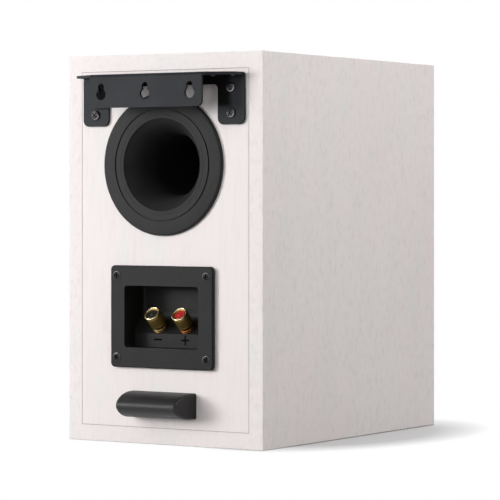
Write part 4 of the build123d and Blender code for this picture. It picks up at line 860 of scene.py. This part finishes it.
def inlaidSign(name, x, turns):
    # One bar for each turn, each a hair higher than the last so that no two faces lie in one plane.
    centre = (x, rearY - sign["inset"] * mm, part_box("terminal_cup")[0].z + sign["low"] * mm)
    bars = [signBar(centre, turn, sign["step"] * number) for number, turn in enumerate(turns)]
    size = bars[0].shape[0] * bars[0].shape[1]
    faces = [gridFaces(*bar.shape[:2]) + number * size for number, bar in enumerate(bars)]
    made = makeMesh(name, np.concatenate(bars), np.concatenate(faces), signShadePaint.material)
    settle(sharpen(weld(made), 30), "cabinet", "cup_plastic")


postX = abs(joints["black_post_turn"]["pos_m"][0])
inlaidSign("minusSign", postX, [0.0])
inlaidSign("plusSign", -postX, [0.0, pi / 2])
print("signs made")

ringSteps = 168     # straight runs round each flexing ring


def flexRing(name, node, front, back, sectors, material):
    # Section points (radius, depth) go round in equal sectors, each a closed piece, with normals square to
    # the section.
    centre = middleOf(node)
    loop = np.concatenate([front[::-1], back])
    rows, span, columns = len(loop), len(front), 1 + ringSteps // sectors
    slope = np.roll(loop, -1, axis=0) - np.roll(loop, 1, axis=0)
    outward = np.stack([slope[:, 1], -slope[:, 0]], axis=1) / np.linalg.norm(slope, axis=1)[:, None]
    near, far = np.arange(span - 1), rows - 1 - np.arange(span - 1)
    cap = np.stack([near, near + 1, far - 1, far], axis=1)
    middle, inwards = np.array((centre[0], frontY, centre[2])), np.array((0, 1, 0))
    for number in range(sectors):
        turn = tau * (number + np.linspace(-0.5, 0.5, columns)) / sectors
        ring = np.stack([np.cos(turn), np.zeros(columns), np.sin(turn)], axis=1)
        points = middle + (loop[:, :1, None] * ring + loop[:, 1:, None] * inwards) * mm
        normals = -(outward[:, :1, None] * ring + outward[:, 1:, None] * inwards)
        faces = np.concatenate([gridFaces(rows, columns, closeRows=True, closeColumns=False), cap * columns,
                                cap[:, ::-1] * columns + columns - 1])
        made = makeMesh(f"{name}{number}", points, faces, material)
        made.data.normals_split_custom_set_from_vertices(normals.reshape(-1, 3).tolist())
        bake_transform(made)
        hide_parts(node)


def arch(inner, outer, depth, rise, steps):
    # Circular arc between two radii whose middle stands this far proud, towards the listener.
    half = (outer - inner) / 2
    radius = (half ** 2 + rise ** 2) / (2 * rise)
    turn = np.linspace(-1, 1, steps) * 2 * atan(rise / half)
    return np.stack([(inner + outer) / 2 + radius * np.sin(turn),
                     depth - rise + radius * (1 - np.cos(turn))], axis=1)


surround = {"outer": 61.0, "rollOuter": 55.5, "rollInner": 46.5, "glue": 42.5, "lip": 5.0, "skin": 0.8,
            "coneRim": 5.0, "coneNeck": 28.5, "former": 13.0, "sectors": 12, "steps": 25}
inner, outer, skin, lip = surround["rollInner"], surround["rollOuter"], surround["skin"], surround["lip"]
rise = (outer - inner) / 2
coneSlope = (surround["coneNeck"] - surround["coneRim"]) / (inner - surround["former"])
glueDepth = surround["coneRim"] + (inner - surround["glue"]) * coneSlope
front = np.concatenate([[(surround["glue"], glueDepth - skin)],
                        [((surround["glue"] + inner) / 2, (glueDepth + lip) / 2 - skin)],
                        arch(inner, outer, lip - skin, rise, surround["steps"]),
                        [(surround["outer"], lip - skin)]])
back = np.concatenate([[(surround["glue"], glueDepth)], [(inner, lip)],
                       arch(inner + skin, outer - skin, lip, rise, surround["steps"]),
                       [(surround["outer"], lip)]])
flexRing("surround", "woofer_surround", front, back, surround["sectors"],
         surroundRubber.material)

spider = {"inner": 13.0, "waveIn": 15.0, "waveOut": 37.5, "depth": 41.0, "skin": 0.8, "height": 1.3,
          "waves": 7, "waveSteps": 10, "sectors": 8}
radii = np.linspace(spider["waveIn"], spider["waveOut"], spider["waveSteps"] * spider["waves"] + 1)
ripple = -spider["height"] * np.sin(np.linspace(0, spider["waves"] * pi, len(radii)))
edge = halfOf("woofer_spider")[0] / mm
back = np.concatenate([[(spider["inner"], spider["depth"])],
                       np.stack([radii, spider["depth"] + ripple], axis=1), [(edge, spider["depth"])]])
flexRing("spider", "woofer_spider", back - (0, spider["skin"]), back, spider["sectors"],
         spiderCloth.material)

domeRoll = {"inner": 12.7, "outer": 16.0, "lip": 8.0, "skin": 0.5, "flange": 17.0, "hold": 0.2, "sectors": 8,
            "steps": 17}
inner, outer, skin, lip = domeRoll["inner"], domeRoll["outer"], domeRoll["skin"], domeRoll["lip"]
rise = (outer - inner) / 2
front = np.concatenate([arch(inner, outer, lip - skin, rise, domeRoll["steps"]),
                        [(domeRoll["flange"], lip - skin)]])
back = np.concatenate([[(inner, lip)], arch(inner + skin, outer - skin, lip, rise, domeRoll["steps"])[1:],
                       [(domeRoll["flange"], lip)]])
flexRing("domeRoll", "tweeter_surround", front, back, domeRoll["sectors"],
         tweeterCloth.material)
print("flexing rings made")

floorPlan = {"width": 8.0, "drop": 0.0002, "bounce": paint(118, 117, 116), "shown": paint(204, 204, 204),
             "middle": (-0.07, -0.02), "reach": (0.078, 0.134), "fade": (0.62, 1.0)}


def floorFinish():
    # Seen directly or in a reflection, the floor keeps the shadow near the foot and fades to white round it.
    finish = Finish("paleFloor", specular=0.0, colour=floorPlan["bounce"], roughness=1.0)
    aside = (finish.axis("X") - floorPlan["middle"][0]) / floorPlan["reach"][0]
    along = (finish.axis("Y") - floorPlan["middle"][1]) / floorPlan["reach"][1]
    away = (aside * aside + along * along).above(*floorPlan["fade"])
    shaded = finish.add("ShaderNodeBsdfDiffuse", {"Color": floorPlan["shown"]})
    glow = finish.add("ShaderNodeEmission", {"Color": white, "Strength": 1.0})
    seen = finish.add("ShaderNodeMixShader", {0: away, 1: shaded, 2: glow})
    plain = Signal(finish, finish.shader.outputs[0])
    looked = finish.rays("Camera", "Glossy", "Transmission")
    both = finish.add("ShaderNodeMixShader", {0: looked, 1: plain, 2: seen})
    finish.tree.links.new(both.socket, finish.output.inputs[0])
    return finish


half = floorPlan["width"] / 2
floorCorners = np.array([(-half, -half, 0), (half, -half, 0), (half, half, 0), (-half, half, 0)])
floorCorners[:, 2] = -floorPlan["drop"]
floor = makeMesh("floor", floorCorners, np.array([(0, 1, 2, 3)]), floorFinish().material, smooth=False)


def turnedTo(direction):
    # The turn that points a lamp or a camera along a direction, its top upwards.
    return Vector(direction).to_track_quat("-Z", "Y").to_euler()


def softBox(name, place, size, power):
    # A white area lamp that looks at the middle of the cabinet.
    lamp = bpy.data.lights.new(name, "AREA")
    lamp.shape = "RECTANGLE"
    lamp.size, lamp.size_y = size
    lamp.energy = power
    made = bpy.data.objects.new(name, lamp)
    made.location = place
    made.rotation_euler = turnedTo(Vector(lampTarget) - Vector(place))
    bpy.context.scene.collection.objects.link(made)


lampTarget = (0, 0, 0.15)
lightPlan = {
    "keyNear": {"place": (1.1, 1.25, 0.33), "size": (0.5, 0.55), "power": 11.7},
    "keyFar": {"place": (1.6, 2.6, 1.35), "size": (1.6, 1.6), "power": 31.0},
    "rearFill": {"place": (-0.15, 2.6, 0.6), "size": (1.0, 1.0), "power": 10.5},
    "sideNear": {"place": (-0.75, 0.05, 0.95), "size": (0.6, 0.6), "power": 4.8},
    "sideMid": {"place": (-1.45, -0.3, 1.3), "size": (1.0, 1.0), "power": 8.8},
    "front": {"place": (0.7, -2.2, 0.85), "size": (1.6, 1.4), "power": 33.0},
    "frontSide": {"place": (1.9, -0.9, 0.8), "size": (1.2, 1.2), "power": 11.0},
}
for name, plan in lightPlan.items():
    softBox(name, **plan)

worldLook = {"ambient": 0.26, "tint": (1.0, 0.995, 0.992, 1.0), "dim": 0.12, "edge": (0.3, 0.6)}
world = bpy.data.worlds.new("studio")
bpy.context.scene.world = world
sky = Shading(world)
# Even light for the scene, a white backdrop for the camera, and for reflections white at +X, dim elsewhere.
towards = sky.add("ShaderNodeTexCoord", output="Generated")
aside = sky.add("ShaderNodeSeparateXYZ", {0: towards}, output="X").above(*worldLook["edge"])
softness = aside * (1.0 - worldLook["dim"]) + worldLook["dim"]
around = sky.add("ShaderNodeBackground", {0: worldLook["tint"], 1: worldLook["ambient"]})
reflected = sky.add("ShaderNodeBackground", {0: white, 1: softness})
backdrop = sky.add("ShaderNodeBackground", {0: white, 1: 1.0})
light = sky.add("ShaderNodeMixShader", {0: sky.rays("Glossy"), 1: around, 2: reflected})
seen = sky.rays("Camera", "Transmission")
sky.finishWith("ShaderNodeOutputWorld", sky.add("ShaderNodeMixShader", {0: seen, 1: light, 2: backdrop}))

cameraPlan = {"place": (-1.1458, 1.8117, 0.1939), "look": (0.5369, -0.8437, 0.0), "lens": 189.4,
              "sensor": 36.0, "shiftY": -0.1126}
lens = bpy.data.cameras.new("camera")
lens.lens = cameraPlan["lens"]
lens.sensor_width = cameraPlan["sensor"]
lens.shift_y = cameraPlan["shiftY"]
camera = bpy.data.objects.new("camera", lens)
camera.location = cameraPlan["place"]
camera.rotation_euler = turnedTo(cameraPlan["look"])
bpy.context.scene.collection.objects.link(camera)
bpy.context.scene.camera = camera
bpy.context.scene.view_settings.view_transform = "Standard"
print("stage, lights and camera set")
